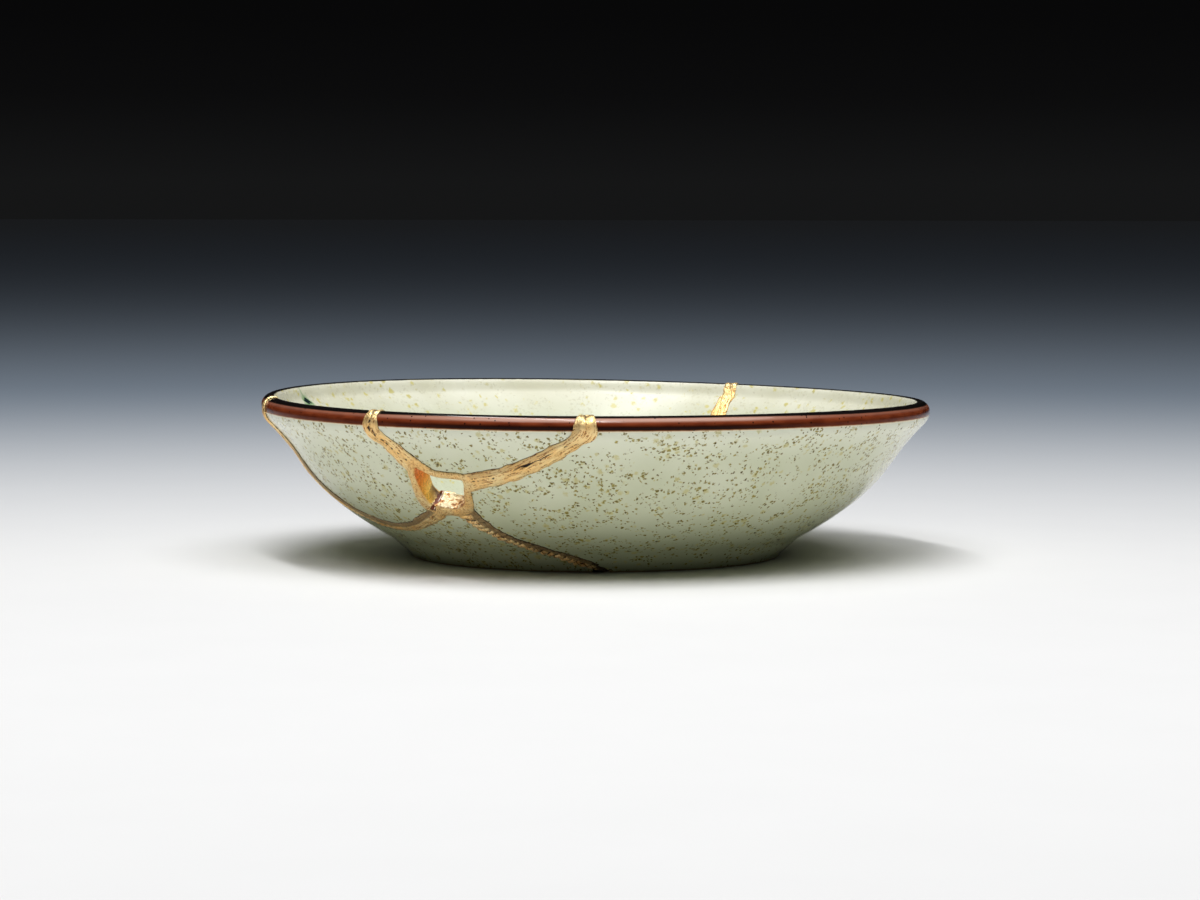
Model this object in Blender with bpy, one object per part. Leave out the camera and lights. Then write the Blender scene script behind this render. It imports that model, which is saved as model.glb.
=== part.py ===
"""A small deep plate, broken and mended with gold: four glazed shards and one connected gold seam.

Metres, +Z up. The origin is on the surface that the plate stands on, under its centre.
The front is towards -Y. An azimuth runs from 0 at the front, positive to the right (+X).
A reach is a distance out from the axis as a share of the rim's radius. Past 1 it climbs
straight up from the lip.
"""

import math

import bmesh
import bpy
from mathutils import Vector

MM = 0.001

# Plate
RIM_RADIUS = 80.0 * MM
HEIGHT = 38.0 * MM
WALL_THICKNESS = 4.6 * MM
LIP_WALL_THICKNESS = 3.9 * MM
FLOOR_HEIGHT = 7.5 * MM
FLOOR_RADIUS = 40.0 * MM

# Foot ring
FOOT_RADIUS = 44.4 * MM
FOOT_FACE = 2.4 * MM
FOOT_EDGE_ROUND = 0.5 * MM
FOOT_WAIST_RADIUS = 49.0 * MM
FOOT_WAIST_HEIGHT = 4.6 * MM
RECESS_DEPTH = 3.0 * MM
RECESS_DRAFT = 1.8 * MM

# Wall curve: the directions in which it leaves the foot and meets the lip, and how far each is felt
WALL_SPRING_ANGLE = math.radians(29.5)
WALL_FLARE_ANGLE = math.radians(45.0)
WALL_SPRING_PULL = 26.0 * MM
WALL_FLARE_PULL = 14.0 * MM

# Lip: a rounded edge with its crest inside its widest line
LIP_OUTER_ROUND = 2.4 * MM
LIP_INNER_ROUND = 1.6 * MM
LIP_INNER_DROP = 2.2 * MM
LIP_UNDERCUT_RADIUS = 4.4 * MM

# The kiln warped the rim: the left side stands higher, and the rim is twisted a little
RIM_TILT = 0.74 * MM
RIM_TWIST = 0.39 * MM

# Gold seams: what shows, the joint that they fill, and how far they stand proud of the glaze
SEAM_WIDTH = 3.6 * MM
SEAM_HEIGHT = 0.65 * MM
SEAM_BEVEL = 0.4 * MM
JOINT_WIDTH = 2.3 * MM
PIECE_GAP = 0.3 * MM
SEAM_FOOT_CLEARANCE = 1.0 * MM

# The lost piece: a hole through the wall, left open, its edge lined and bordered with gold
HOLE_WIDTH = 12.0 * MM
HOLE_HEIGHT = 10.0 * MM
HOLE_AZIMUTH = -29.5
HOLE_REACH = 0.8625
HOLE_LINING = 1.1 * MM
HOLE_BORDER = 2.0 * MM
HOLE_BORDER_EXTRA = 1.0 * MM

# A chip in the foot's edge where the thin seam ends
CHIP_AZIMUTH = 1.4
CHIP_WIDTH = 2.9 * MM
CHIP_HEIGHT = 1.8 * MM
CHIP_DEPTH = 1.3 * MM

# All breaks run towards one point on the axis, so that they cross the wall squarely
FOCUS_HEIGHT = 80.0 * MM
BREAK_FOCUS = Vector((0.0, 0.0, FOCUS_HEIGHT))
CUT_MARGIN = 2.0 * MM

# Smoothness, and the step of reach over which the wall's slope is read
SIDES = 64
WALL_STEPS = 8
ROUND_STEPS = 3
CRACK_STEPS = 2
SLOPE_STEP = 0.01
SHARP_ANGLE = math.radians(35.0)

# Each crack as (azimuth in degrees, reach, share of the seam's width), from inside the hole outwards
CRACK_TO_FRONT_LEFT_RIM = (
    (-31.5, 0.875, 1.0), (-34.2, 0.915, 1.0), (-35.4, 0.933, 1.0), (-36.9, 0.963, 0.95),
    (-38.6, 0.988, 0.95), (-39.0, 1.0, 1.0), (-39.4, 1.12, 1.0),
)
CRACK_TO_FRONT_RIM = (
    (-26.5, 0.874, 1.0), (-21.7, 0.888, 1.0), (-16.8, 0.899, 1.0), (-11.1, 0.923, 1.0),
    (-6.0, 0.958, 1.05), (-2.6, 0.988, 1.15), (-1.6, 1.0, 1.5), (-1.0, 1.12, 1.5),
)
CRACK_TO_LEFT_RIM = (
    (-30.5, 0.835, 1.0), (-34.5, 0.795, 1.0), (-39.0, 0.764, 0.95), (-45.5, 0.731, 0.9),
    (-54.0, 0.720, 0.9), (-62.0, 0.744, 0.9), (-69.3, 0.800, 0.9), (-73.6, 0.862, 0.9),
    (-75.0, 0.930, 0.9), (-76.8, 0.983, 0.95), (-77.3, 1.0, 1.0), (-78.0, 1.12, 1.0),
)
CRACK_UNDER_AND_UP_THE_BACK = (
    (-27.8, 0.835, 0.9), (-26.2, 0.783, 0.85), (-24.0, 0.739, 0.8), (-20.3, 0.691, 0.75),
    (-14.5, 0.643, 0.7), (-7.5, 0.603, 0.65), (0.2, 0.568, 0.6), (5.0, 0.505, 0.65),
    (17.0, 0.320, 0.75), (72.0, 0.170, 0.8), (128.0, 0.250, 0.8), (146.0, 0.420, 0.85),
    (151.5, 0.600, 0.9), (153.6, 0.780, 1.1), (153.8, 0.920, 1.15), (153.0, 1.0, 1.05),
    (152.7, 1.12, 1.05),
)

# The hole's corners, as shares of its width and height from its centre, seen from outside
HOLE_CORNERS = (
    (-0.43, 0.66), (-0.25, 0.50), (-0.06, 0.40), (0.24, 0.36), (0.52, 0.33), (0.44, 0.02),
    (0.31, -0.40), (0.08, -0.54), (-0.22, -0.46), (-0.46, -0.44), (-0.51, 0.02), (-0.52, 0.42),
)

# A place on each shard, as (azimuth in degrees, reach), by which it is told from the others
SHARD_PLACES = {
    "shard_front_left": (-55.0, 0.88),
    "shard_front_middle": (-20.0, 0.96),
    "shard_right": (60.0, 0.80),
    "shard_back_left": (-130.0, 0.80),
}


def clear_scene():
    for thing in list(bpy.data.objects):
        bpy.data.objects.remove(thing, do_unlink=True)


def material(name, colour, roughness, metallic=0.0, coat=0.0):
    """A plain finish. The colour is linear."""
    made = bpy.data.materials.new(name)
    made.use_nodes = True
    shader = made.node_tree.nodes["Principled BSDF"]
    shader.inputs["Base Color"].default_value = (*colour, 1.0)
    shader.inputs["Roughness"].default_value = roughness
    shader.inputs["Metallic"].default_value = metallic
    shader.inputs["Coat Weight"].default_value = coat
    made.diffuse_color = (*colour, 1.0)
    return made


def add_object(name, mesh):
    made = bpy.data.objects.new(name, mesh)
    bpy.context.scene.collection.objects.link(made)
    return made


def add_guide(name, mesh):
    """A shape that only cuts or bounds others."""
    made = add_object(name, mesh)
    made.hide_render = True
    made.display_type = "WIRE"
    return made


def boolean(target, operation, tool, use_self=False):
    cut = target.modifiers.new(f"{operation.lower()} {tool.name}", "BOOLEAN")
    cut.operation = operation
    cut.solver = "EXACT"
    cut.use_self = use_self
    cut.object = tool


def bezier(start, start_pull, end_pull, end, steps):
    """Points of a cubic curve in the plane of radius and height."""
    points = []
    for step in range(steps + 1):
        t = step / steps
        s = 1 - t
        point = start * s**3 + start_pull * (3 * s * s * t) + end_pull * (3 * s * t * t) + end * t**3
        points.append(point)
    return points


def arc(centre, across, up, start_angle, end_angle, steps):
    """Points of an elliptical arc after its start, its angles from the outward radius."""
    points = []
    for step in range(1, steps + 1):
        angle = start_angle + (end_angle - start_angle) * step / steps
        points.append(centre + Vector((across * math.cos(angle), up * math.sin(angle))))
    return points


def outward_normals(points):
    """At each point of an outline, its unit normal and how much a mitre lengthens it there."""
    found = []
    for index, point in enumerate(points):
        first = point - points[index - 1] if index else points[1] - point
        second = points[index + 1] - point if index < len(points) - 1 else first
        first_normal = Vector((first.y, -first.x)).normalized()
        second_normal = Vector((second.y, -second.x)).normalized()
        middle = (first_normal + second_normal).normalized()
        found.append((middle, 1 / middle.dot(first_normal)))
    return found


def offset(points, distance):
    """An outline moved outwards, its corners mitred."""
    return [
        point + normal * (distance * mitre)
        for point, (normal, mitre) in zip(points, outward_normals(points))
    ]


def wall_curve():
    """The outside of the wall, from the waist above the foot to where the lip begins."""
    undercut_turn = math.pi / 2 - WALL_FLARE_ANGLE
    bottom = Vector((FOOT_WAIST_RADIUS, FOOT_WAIST_HEIGHT))
    top = undercut_centre() + LIP_UNDERCUT_RADIUS * Vector(
        (math.cos(undercut_turn), -math.sin(undercut_turn))
    )
    spring = Vector((math.cos(WALL_SPRING_ANGLE), math.sin(WALL_SPRING_ANGLE)))
    flare = Vector((math.cos(WALL_FLARE_ANGLE), math.sin(WALL_FLARE_ANGLE)))
    return bezier(
        bottom, bottom + WALL_SPRING_PULL * spring, top - WALL_FLARE_PULL * flare, top, WALL_STEPS
    )


def undercut_centre():
    return Vector((RIM_RADIUS - LIP_UNDERCUT_RADIUS, HEIGHT - LIP_OUTER_ROUND))


def foot_outline():
    """The underside, as (radius, height), from the axis to the foot's outer edge."""
    foot_inner = FOOT_RADIUS - FOOT_FACE
    return [
        Vector((0.0, RECESS_DEPTH)),
        Vector((foot_inner - RECESS_DRAFT, RECESS_DEPTH)),
        Vector((foot_inner, 0.0)),
        Vector((FOOT_RADIUS - FOOT_EDGE_ROUND, 0.0)),
        Vector((FOOT_RADIUS, FOOT_EDGE_ROUND)),
    ]


def side_outline():
    """The outside above the foot, as (radius, height), up to the lip's crest."""
    points = wall_curve()
    points += arc(
        undercut_centre(),
        LIP_UNDERCUT_RADIUS,
        LIP_UNDERCUT_RADIUS,
        WALL_FLARE_ANGLE - math.pi / 2,
        0.0,
        ROUND_STEPS - 1,
    )
    crest_centre = Vector((RIM_RADIUS - LIP_OUTER_ROUND, HEIGHT - LIP_OUTER_ROUND))
    points += arc(
        crest_centre, LIP_OUTER_ROUND, LIP_OUTER_ROUND, 0.0, math.pi / 2, ROUND_STEPS
    )
    return points


def outer_outline():
    """The underside and outside, as (radius, height), from the axis to the lip's crest."""
    return foot_outline() + side_outline()


def inner_outline():
    """The inside, as (radius, height), from just inside the lip's crest to the axis."""
    crest_centre = Vector((RIM_RADIUS - LIP_OUTER_ROUND, HEIGHT - LIP_INNER_DROP))
    points = arc(
        crest_centre, LIP_INNER_ROUND, LIP_INNER_DROP, math.pi / 2, math.pi, ROUND_STEPS
    )
    outside = wall_curve()
    inside = []
    for step, (point, (normal, _)) in enumerate(zip(outside, outward_normals(outside))):
        share = step / WALL_STEPS
        thickness = WALL_THICKNESS + (LIP_WALL_THICKNESS - WALL_THICKNESS) * share
        inside.append(point - normal * thickness)
    points += reversed(inside[:-1])
    points.append(Vector((FLOOR_RADIUS, FLOOR_HEIGHT)))
    points.append(Vector((0.0, FLOOR_HEIGHT)))
    return points


def warp(height, azimuth):
    """How much the kiln lifted a point at this height and azimuth (in radians)."""
    share = max(0.0, (height - FLOOR_HEIGHT) / (HEIGHT - FLOOR_HEIGHT))
    return share * (RIM_TWIST * math.sin(2 * azimuth) - RIM_TILT * math.sin(azimuth))


def plate_mesh(name, grow=0.0, lowest=0.0):
    """The whole plate turned about its axis, grown by a distance and kept above a height."""
    outline = offset(outer_outline() + inner_outline(), grow)
    outline = [Vector((point.x, max(point.y, lowest))) for point in outline[1:-1]]
    bm = bmesh.new()
    verts = [bm.verts.new((0.0, -point.x, point.y)) for point in outline]
    edges = [bm.edges.new(pair) for pair in zip(verts, verts[1:])]
    bmesh.ops.spin(
        bm,
        geom=verts + edges,
        cent=(0, 0, 0),
        axis=(0, 0, 1),
        angle=2 * math.pi,
        steps=SIDES,
        use_merge=True,
    )
    bmesh.ops.holes_fill(bm, edges=[edge for edge in bm.edges if edge.is_boundary])
    for vert in bm.verts:
        vert.co.z += warp(vert.co.z, math.atan2(vert.co.x, -vert.co.y))
    return finished_mesh(name, bm)


def finished_mesh(name, bm):
    bmesh.ops.recalc_face_normals(bm, faces=bm.faces)
    mesh = bpy.data.meshes.new(name)
    bm.to_mesh(mesh)
    bm.free()
    return mesh


def lofted_mesh(name, loops):
    """A closed solid through loops of as many points each, capped at both ends."""
    bm = bmesh.new()
    rings = [[bm.verts.new(point) for point in loop] for loop in loops]
    for lower, upper in zip(rings, rings[1:]):
        for index in range(len(lower)):
            after = (index + 1) % len(lower)
            bm.faces.new((lower[index], lower[after], upper[after], upper[index]))
    bm.faces.new(reversed(rings[0]))
    bm.faces.new(rings[-1])
    return finished_mesh(name, bm)


def interpolate(table, value):
    """Straight-line reading of a table of (key, value) pairs whose keys rise."""
    for (low, low_value), (high, high_value) in zip(table, table[1:]):
        if value <= high:
            share = max(0.0, (value - low) / (high - low))
            return low_value + (high_value - low_value) * share
    return table[-1][1]


def place(azimuth_degrees, reach):
    """The point of the outside at an azimuth and reach."""
    azimuth = math.radians(azimuth_degrees)
    radius = min(reach, 1.0) * RIM_RADIUS
    outside = outer_outline()
    widest = max(range(len(outside)), key=lambda index: outside[index].x)
    height = interpolate([tuple(point) for point in outside[:widest + 1]], radius)
    height += warp(height, azimuth) + max(0.0, reach - 1.0) * RIM_RADIUS
    return Vector((radius * math.sin(azimuth), -radius * math.cos(azimuth), height))


def depth_along(direction, outline):
    """How far from the break focus a ray meets the warped outline that starts at the axis."""
    azimuth = math.atan2(direction.x, -direction.y)
    ray = Vector((math.hypot(direction.x, direction.y), -direction.z))
    below = []
    for point in outline:
        seen = Vector((point.x, BREAK_FOCUS.z - point.y - warp(point.y, azimuth)))
        if not below or math.atan2(seen.x, seen.y) > math.atan2(below[-1].x, below[-1].y):
            below.append(seen)
    for start, end in zip(below, below[1:]):
        if ray.x * end.y <= ray.y * end.x:
            along = end - start
            return (start.x * along.y - start.y * along.x) / (ray.x * along.y - ray.y * along.x)
    return below[-1].length


def surface_depths(direction):
    """How far from the break focus a ray meets the inside and the outside of the wall."""
    inside = list(reversed(inner_outline()))
    return depth_along(direction, inside), depth_along(direction, outer_outline())


def clearing_depth(direction):
    """How far from the break focus a ray leaves the plate, the recess in the foot counted as full."""
    filled_foot = [Vector((0.0, 0.0)), Vector((FOOT_RADIUS, 0.0))]
    return depth_along(direction, filled_foot + side_outline())


def smooth_path(points, steps):
    """Points of a smooth curve through the given ones."""
    path = []
    last = len(points) - 1
    for index in range(last):
        before = points[max(index - 1, 0)]
        start = points[index]
        end = points[index + 1]
        after = points[min(index + 2, last)]
        for step in range(steps):
            t = step / steps
            path.append(
                0.5 * (
                    2 * start
                    + (end - before) * t
                    + (2 * before - 5 * start + 4 * end - after) * t**2
                    + (3 * start - before - 3 * end + after) * t**3
                )
            )
    path.append(points[-1])
    return path


def levels(direction, spread, bevelled):
    """Depths through the wall and what is added to the half-width at each."""
    inside, outside = surface_depths(direction)
    clear = clearing_depth(direction)
    if not bevelled:
        return [(inside - CUT_MARGIN, spread), (clear + CUT_MARGIN, spread)]
    reach = 2 * SEAM_HEIGHT
    pinched = spread - 2 * SEAM_BEVEL
    return [
        (inside - reach, pinched),
        (inside, spread),
        (outside, spread),
        (clear + reach, pinched),
    ]


def crack_mesh(name, crack, width, inset, bevelled):
    """A blade along a crack, as deep as the wall and a margin beyond it, narrowed by an inset."""
    path = smooth_path([place(azimuth, reach) for azimuth, reach, _ in crack], CRACK_STEPS)
    shares = smooth_path([share for _, _, share in crack], CRACK_STEPS)
    last = len(path) - 1
    loops = []
    for index, point in enumerate(path):
        direction = (point - BREAK_FOCUS).normalized()
        along = path[min(index + 1, last)] - path[max(index - 1, 0)]
        side = along.cross(direction).normalized()
        half_width = width * shares[index] / 2 - inset
        across = levels(direction, half_width, bevelled)
        near_side = [BREAK_FOCUS + direction * depth + side * half for depth, half in across]
        far_side = [BREAK_FOCUS + direction * depth - side * half for depth, half in across]
        loops.append(near_side + far_side[::-1])
    return lofted_mesh(name, loops)


def hole_outline(grow, extra):
    """The hole's corners in its own plane, moved outwards, and to the left and down by an extra."""
    corners = [Vector((across * HOLE_WIDTH, up * HOLE_HEIGHT)) for across, up in HOLE_CORNERS]
    moved = []
    for index, corner in enumerate(corners):
        first = corner - corners[index - 1]
        second = corners[(index + 1) % len(corners)] - corner
        first_normal = Vector((-first.y, first.x)).normalized()
        second_normal = Vector((-second.y, second.x)).normalized()
        middle = (first_normal + second_normal).normalized()
        grown = corner + middle * (grow / middle.dot(first_normal))
        moved.append(Vector((grown.x - extra * (corner.x < 0), grown.y - extra * (corner.y < 0))))
    return moved


def hole_mesh(name, grow, extra, margin, bevelled=False):
    """A block through the wall with the hole's outline, grown by a distance."""
    centre = place(HOLE_AZIMUTH, HOLE_REACH)
    azimuth = math.radians(HOLE_AZIMUTH)
    right = Vector((math.cos(azimuth), math.sin(azimuth), 0.0))
    up = (place(HOLE_AZIMUTH, HOLE_REACH + SLOPE_STEP) - centre).normalized()
    centre_depths = surface_depths((centre - BREAK_FOCUS).normalized())
    centre_distance = (centre - BREAK_FOCUS).length

    def corner_rays(spread):
        outline = hole_outline(spread, extra)
        points = [centre + right * flat.x + up * flat.y for flat in outline]
        return [point - BREAK_FOCUS for point in points]

    def flat_loop(spread, depth):
        scale = depth / centre_distance
        return [BREAK_FOCUS + ray * scale for ray in corner_rays(spread)]

    def surface_loop(spread, side):
        rays = [ray.normalized() for ray in corner_rays(spread)]
        return [BREAK_FOCUS + ray * surface_depths(ray)[side] for ray in rays]

    cap_spread = grow - 2 * SEAM_BEVEL if bevelled else grow
    loops = [flat_loop(cap_spread, centre_depths[0] - margin)]
    if bevelled:
        loops += [surface_loop(grow, 0), surface_loop(grow, 1)]
    loops.append(flat_loop(cap_spread, centre_depths[1] + margin))
    return lofted_mesh(name, loops)


def crack_network(name, width, border, extra=0.0, inset=0.0, bevelled=False):
    """All cracks and the block around the hole as one solid."""
    cracks = {
        "to_front_left_rim": CRACK_TO_FRONT_LEFT_RIM,
        "to_front_rim": CRACK_TO_FRONT_RIM,
        "to_left_rim": CRACK_TO_LEFT_RIM,
        "under_and_up_the_back": CRACK_UNDER_AND_UP_THE_BACK,
    }
    margin = 3 * SEAM_HEIGHT if bevelled else 1.5 * CUT_MARGIN
    whole = add_guide(name, hole_mesh(name, border, extra, margin, bevelled))
    for crack_name, crack in cracks.items():
        mesh = crack_mesh(f"{name}_{crack_name}", crack, width, inset, bevelled)
        boolean(whole, "UNION", add_guide(mesh.name, mesh))
    return whole


def chip_mesh(name):
    """A small three-sided flake out of the foot's outer edge."""
    azimuth = math.radians(CHIP_AZIMUTH)
    out = Vector((math.sin(azimuth), -math.cos(azimuth), 0.0))
    right = Vector((math.cos(azimuth), math.sin(azimuth), 0.0))
    floor = Vector((0.0, 0.0, -CUT_MARGIN))
    front = out * (FOOT_RADIUS + CUT_MARGIN)
    top = out * (FOOT_RADIUS + CHIP_HEIGHT) + Vector((0.0, 0.0, CHIP_HEIGHT))
    corners = [
        front - right * CHIP_WIDTH / 2 + floor,
        front + right * CHIP_WIDTH / 2 + floor,
        front - right * CHIP_WIDTH / 2,
        front + right * CHIP_WIDTH / 2,
        top - right * CHIP_WIDTH / 4,
        top - right * CHIP_WIDTH / 4 + out * CUT_MARGIN,
        out * (FOOT_RADIUS - CHIP_DEPTH) + floor,
        out * (FOOT_RADIUS - CHIP_DEPTH),
    ]
    bm = bmesh.new()
    verts = [bm.verts.new(corner) for corner in corners]
    hull = bmesh.ops.convex_hull(bm, input=verts)
    loose = [vert for vert in bm.verts if not vert.link_faces]
    bmesh.ops.delete(bm, geom=loose, context="VERTS")
    return finished_mesh(name, bm)


def evaluated_mesh(thing):
    graph = bpy.context.evaluated_depsgraph_get()
    return bpy.data.meshes.new_from_object(thing.evaluated_get(graph))


def loose_parts(mesh):
    """The faces of each separate body of a mesh, as lists of corner-index tuples."""
    neighbours = [[] for _ in mesh.vertices]
    for edge in mesh.edges:
        first, second = edge.vertices
        neighbours[first].append(second)
        neighbours[second].append(first)
    body_of = [None] * len(mesh.vertices)
    bodies = 0
    for start in range(len(mesh.vertices)):
        if body_of[start] is not None:
            continue
        waiting = [start]
        body_of[start] = bodies
        while waiting:
            for other in neighbours[waiting.pop()]:
                if body_of[other] is None:
                    body_of[other] = bodies
                    waiting.append(other)
        bodies += 1
    parts = [[] for _ in range(bodies)]
    for face in mesh.polygons:
        parts[body_of[face.vertices[0]]].append(tuple(face.vertices))
    return parts


def add_shards(broken, glaze):
    """Each body of the broken plate becomes the shard whose place it holds."""
    mesh = evaluated_mesh(broken)
    parts = loose_parts(mesh)
    for name, spot in SHARD_PLACES.items():
        target = place(*spot)

        def distance_to(part):
            corners = {corner for face in part for corner in face}
            return min((mesh.vertices[corner].co - target).length for corner in corners)

        part = min(parts, key=distance_to)
        corners = sorted({corner for face in part for corner in face})
        new_index = {corner: index for index, corner in enumerate(corners)}
        shard = bpy.data.meshes.new(name)
        shard.from_pydata(
            [mesh.vertices[corner].co for corner in corners],
            [],
            [[new_index[corner] for corner in face] for face in part],
        )
        shard.materials.append(glaze)
        smooth(shard)
        add_object(name, shard)
    bpy.data.meshes.remove(mesh)


def smooth(mesh):
    mesh.shade_smooth()
    mesh.set_sharp_from_angle(angle=SHARP_ANGLE)


def add_gold_seam(gold):
    """What the grown plate keeps inside the cracks, less the shards and the room around them."""
    mesh = plate_mesh("gold_seam", SEAM_HEIGHT, SEAM_FOOT_CLEARANCE)
    mesh.materials.append(gold)
    seam = add_object("gold_seam", mesh)
    shown = crack_network(
        "seam_outline", SEAM_WIDTH, HOLE_BORDER, extra=HOLE_BORDER_EXTRA, bevelled=True
    )
    webs = crack_network("seam_web", JOINT_WIDTH, HOLE_LINING, inset=PIECE_GAP)
    spared = add_guide("shards_and_room", plate_mesh("shards_and_room", PIECE_GAP, -CUT_MARGIN))
    boolean(spared, "DIFFERENCE", webs)
    boolean(seam, "INTERSECT", shown, use_self=True)
    boolean(seam, "DIFFERENCE", spared)
    boolean(seam, "DIFFERENCE", add_guide("hole", hole_mesh("hole", 0.0, 0.0, 2 * CUT_MARGIN)))
    return seam


def main():
    clear_scene()
    glaze = material("celadon glaze", (0.56, 0.59, 0.46), 0.18, coat=0.4)
    gold = material("gold on lacquer", (0.70, 0.36, 0.13), 0.34, metallic=0.9)
    broken = add_guide("broken_plate", plate_mesh("broken_plate"))
    joints = crack_network("joint", JOINT_WIDTH, HOLE_LINING + PIECE_GAP)
    boolean(broken, "DIFFERENCE", joints)
    boolean(broken, "DIFFERENCE", add_guide("foot_chip", chip_mesh("foot_chip")))
    add_shards(broken, glaze)
    add_gold_seam(gold)


main()
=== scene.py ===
"""The looks of a broken plate mended with gold: speckled celadon glaze, brown lip, raised gold.

Metres, +Z up, the front towards -Y. An azimuth runs from 0 at the front, positive to the right.
The plate's profile and the courses of the breaks are the solids' own in finer steps, but for the
lip's inner side, the hole's lower edge and the end of the crack to the front rim, which differ by
less than 1 mm.
"""

import math
from collections import namedtuple

import bmesh
import bpy
import numpy as np
from mathutils import Matrix, Quaternion, Vector, kdtree, noise


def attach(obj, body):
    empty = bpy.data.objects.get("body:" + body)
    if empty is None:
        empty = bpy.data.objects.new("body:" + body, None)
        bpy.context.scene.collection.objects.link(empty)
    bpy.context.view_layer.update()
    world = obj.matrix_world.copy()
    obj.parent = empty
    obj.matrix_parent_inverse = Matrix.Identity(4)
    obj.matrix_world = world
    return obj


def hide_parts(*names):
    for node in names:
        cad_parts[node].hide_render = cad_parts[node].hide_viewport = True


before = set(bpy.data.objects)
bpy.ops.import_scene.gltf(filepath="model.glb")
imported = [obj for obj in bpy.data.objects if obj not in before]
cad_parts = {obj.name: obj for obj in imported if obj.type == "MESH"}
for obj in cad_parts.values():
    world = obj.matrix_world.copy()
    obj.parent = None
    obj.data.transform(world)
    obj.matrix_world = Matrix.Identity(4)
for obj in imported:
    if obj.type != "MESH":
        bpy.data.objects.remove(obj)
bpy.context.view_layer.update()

MM = 0.001

# Plate
RIM_RADIUS = 80.0 * MM
HEIGHT = 38.0 * MM
WALL_THICKNESS = 4.6 * MM
LIP_WALL_THICKNESS = 3.9 * MM
FLOOR_HEIGHT = 7.5 * MM
FLOOR_RADIUS = 40.0 * MM
FOOT_RADIUS = 44.4 * MM
FOOT_FACE = 2.4 * MM
FOOT_EDGE_ROUND = 0.5 * MM
FOOT_WAIST_RADIUS = 49.0 * MM
FOOT_WAIST_HEIGHT = 4.6 * MM
RECESS_DEPTH = 3.0 * MM
RECESS_DRAFT = 1.8 * MM
WALL_SPRING_ANGLE = math.radians(29.5)
WALL_FLARE_ANGLE = math.radians(45.0)
WALL_SPRING_PULL = 26.0 * MM
WALL_FLARE_PULL = 14.0 * MM
LIP_OUTER_ROUND = 2.4 * MM
LIP_INNER_PULL = 1.4 * MM
LIP_UNDERCUT_RADIUS = 4.4 * MM
CREST_RADIUS = RIM_RADIUS - LIP_OUTER_ROUND
LIP_BAND_EDGE = HEIGHT - 3.4 * MM
LIP_GLOSS_EDGE = HEIGHT - 1.3 * MM
RIM_TILT = 0.74 * MM
RIM_TWIST = 0.39 * MM

# Joints between the shards, and the gold that fills and covers them
JOINT_WIDTH = 2.3 * MM
PIECE_GAP = 0.3 * MM
BEAD_WIDTH = 3.6 * MM
BEAD_HEIGHT = 0.55 * MM
BEAD_MOST = 0.62 * MM
BEAD_ROOT = 0.25 * MM
BEAD_MOUTH = 9.0 * MM
BEAD_WANDER = 0.22 * MM
BEAD_SWELL = 0.16
BEAD_LIP_REACH = 4.5 * MM
RIM_ZONE = 0.95 * RIM_RADIUS
COURSE_END = 0.9995 * RIM_RADIUS
STRAND_PITCH = 1.7 * MM
ROPE_END = 50.0 * MM
ROPE_FADE = 8.0 * MM
DULL_END = 70.0 * MM
DULL_FADE = 10.0 * MM
GROUND_CLEARANCE = 0.12 * MM
HOLE_WIDTH = 12.0 * MM
HOLE_HEIGHT = 10.0 * MM
HOLE_AZIMUTH = -29.5
HOLE_REACH = 0.8625
HOLE_CORNER_CUTS = (0.14, 0.25)
HOLE_LINING = 1.1 * MM
HOLE_RING_OVERLAP = 0.35 * MM
HOLE_BORDER = 2.0 * MM
HOLE_BORDER_EXTRA = 1.2 * MM
SILL_DIP = 1.0 * MM
CHIP_AZIMUTH = 1.4
CHIP_WIDTH = 2.9 * MM
CHIP_HEIGHT = 1.8 * MM
CHIP_DEPTH = 1.3 * MM
FOCUS_HEIGHT = 80.0 * MM
CUTTER_REACH = (0.85, 1.15)
FOCUS = np.array(Vector((0.0, 0.0, FOCUS_HEIGHT)))

# Fineness
SIDES = 320
WALL_STEPS = 44
ROUND_STEPS = 9
CRACK_STEPS = 10
BEAD_STEP = 0.3 * MM
BEAD_SIDES = 22
HOLE_POINTS = 160
OVER_LIP_STEPS = 40
SMOOTH_REACH = 4
SHARP_ANGLE = math.radians(38)
VOXEL = 0.25 * MM
SEAM_KEPT = 0.57
HIDDEN_BELOW = -0.35 * MM

# Relief of the glaze and the gold
RIPPLE_DEPTH = 0.07 * MM
GRAIN_SIZES = (0.55 * MM, 0.27 * MM)
GRAIN_HEIGHT = 0.05 * MM
NUBBY_HEIGHT = 0.10 * MM
PIT_DEPTH = 0.32 * MM
LEAF_FOLD = 0.3 * MM
LIP_FOLD = 0.2
STRAND_HEIGHT = 0.2
UNWORKED_BELOW = -0.3 * MM
SILL_BELOW = -2.4 * MM

# Each crack as (azimuth in degrees, reach, share of the bead's width), from the hole outwards
CRACK_TO_FRONT_LEFT_RIM = (
    (-31.5, 0.875, 1.0), (-34.2, 0.915, 1.0), (-35.4, 0.933, 1.0), (-36.9, 0.963, 0.95),
    (-38.6, 0.988, 0.95), (-39.0, 1.0, 1.0), (-39.4, 1.12, 1.0),
)
CRACK_TO_FRONT_RIM = (
    (-26.5, 0.874, 1.0), (-21.7, 0.888, 1.0), (-16.8, 0.899, 1.0), (-11.1, 0.923, 1.0),
    (-6.0, 0.958, 1.0), (-2.9, 0.988, 0.95), (-1.4, 1.0, 1.4), (-0.9, 1.12, 1.4),
)
CRACK_TO_LEFT_RIM = (
    (-30.5, 0.835, 1.0), (-34.5, 0.795, 1.0), (-39.0, 0.764, 0.95), (-45.5, 0.731, 0.9),
    (-54.0, 0.720, 0.9), (-62.0, 0.744, 0.9), (-69.3, 0.800, 0.9), (-73.6, 0.862, 0.9),
    (-75.0, 0.930, 0.9), (-76.8, 0.983, 0.95), (-77.3, 1.0, 1.0), (-78.0, 1.12, 1.0),
)
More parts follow.
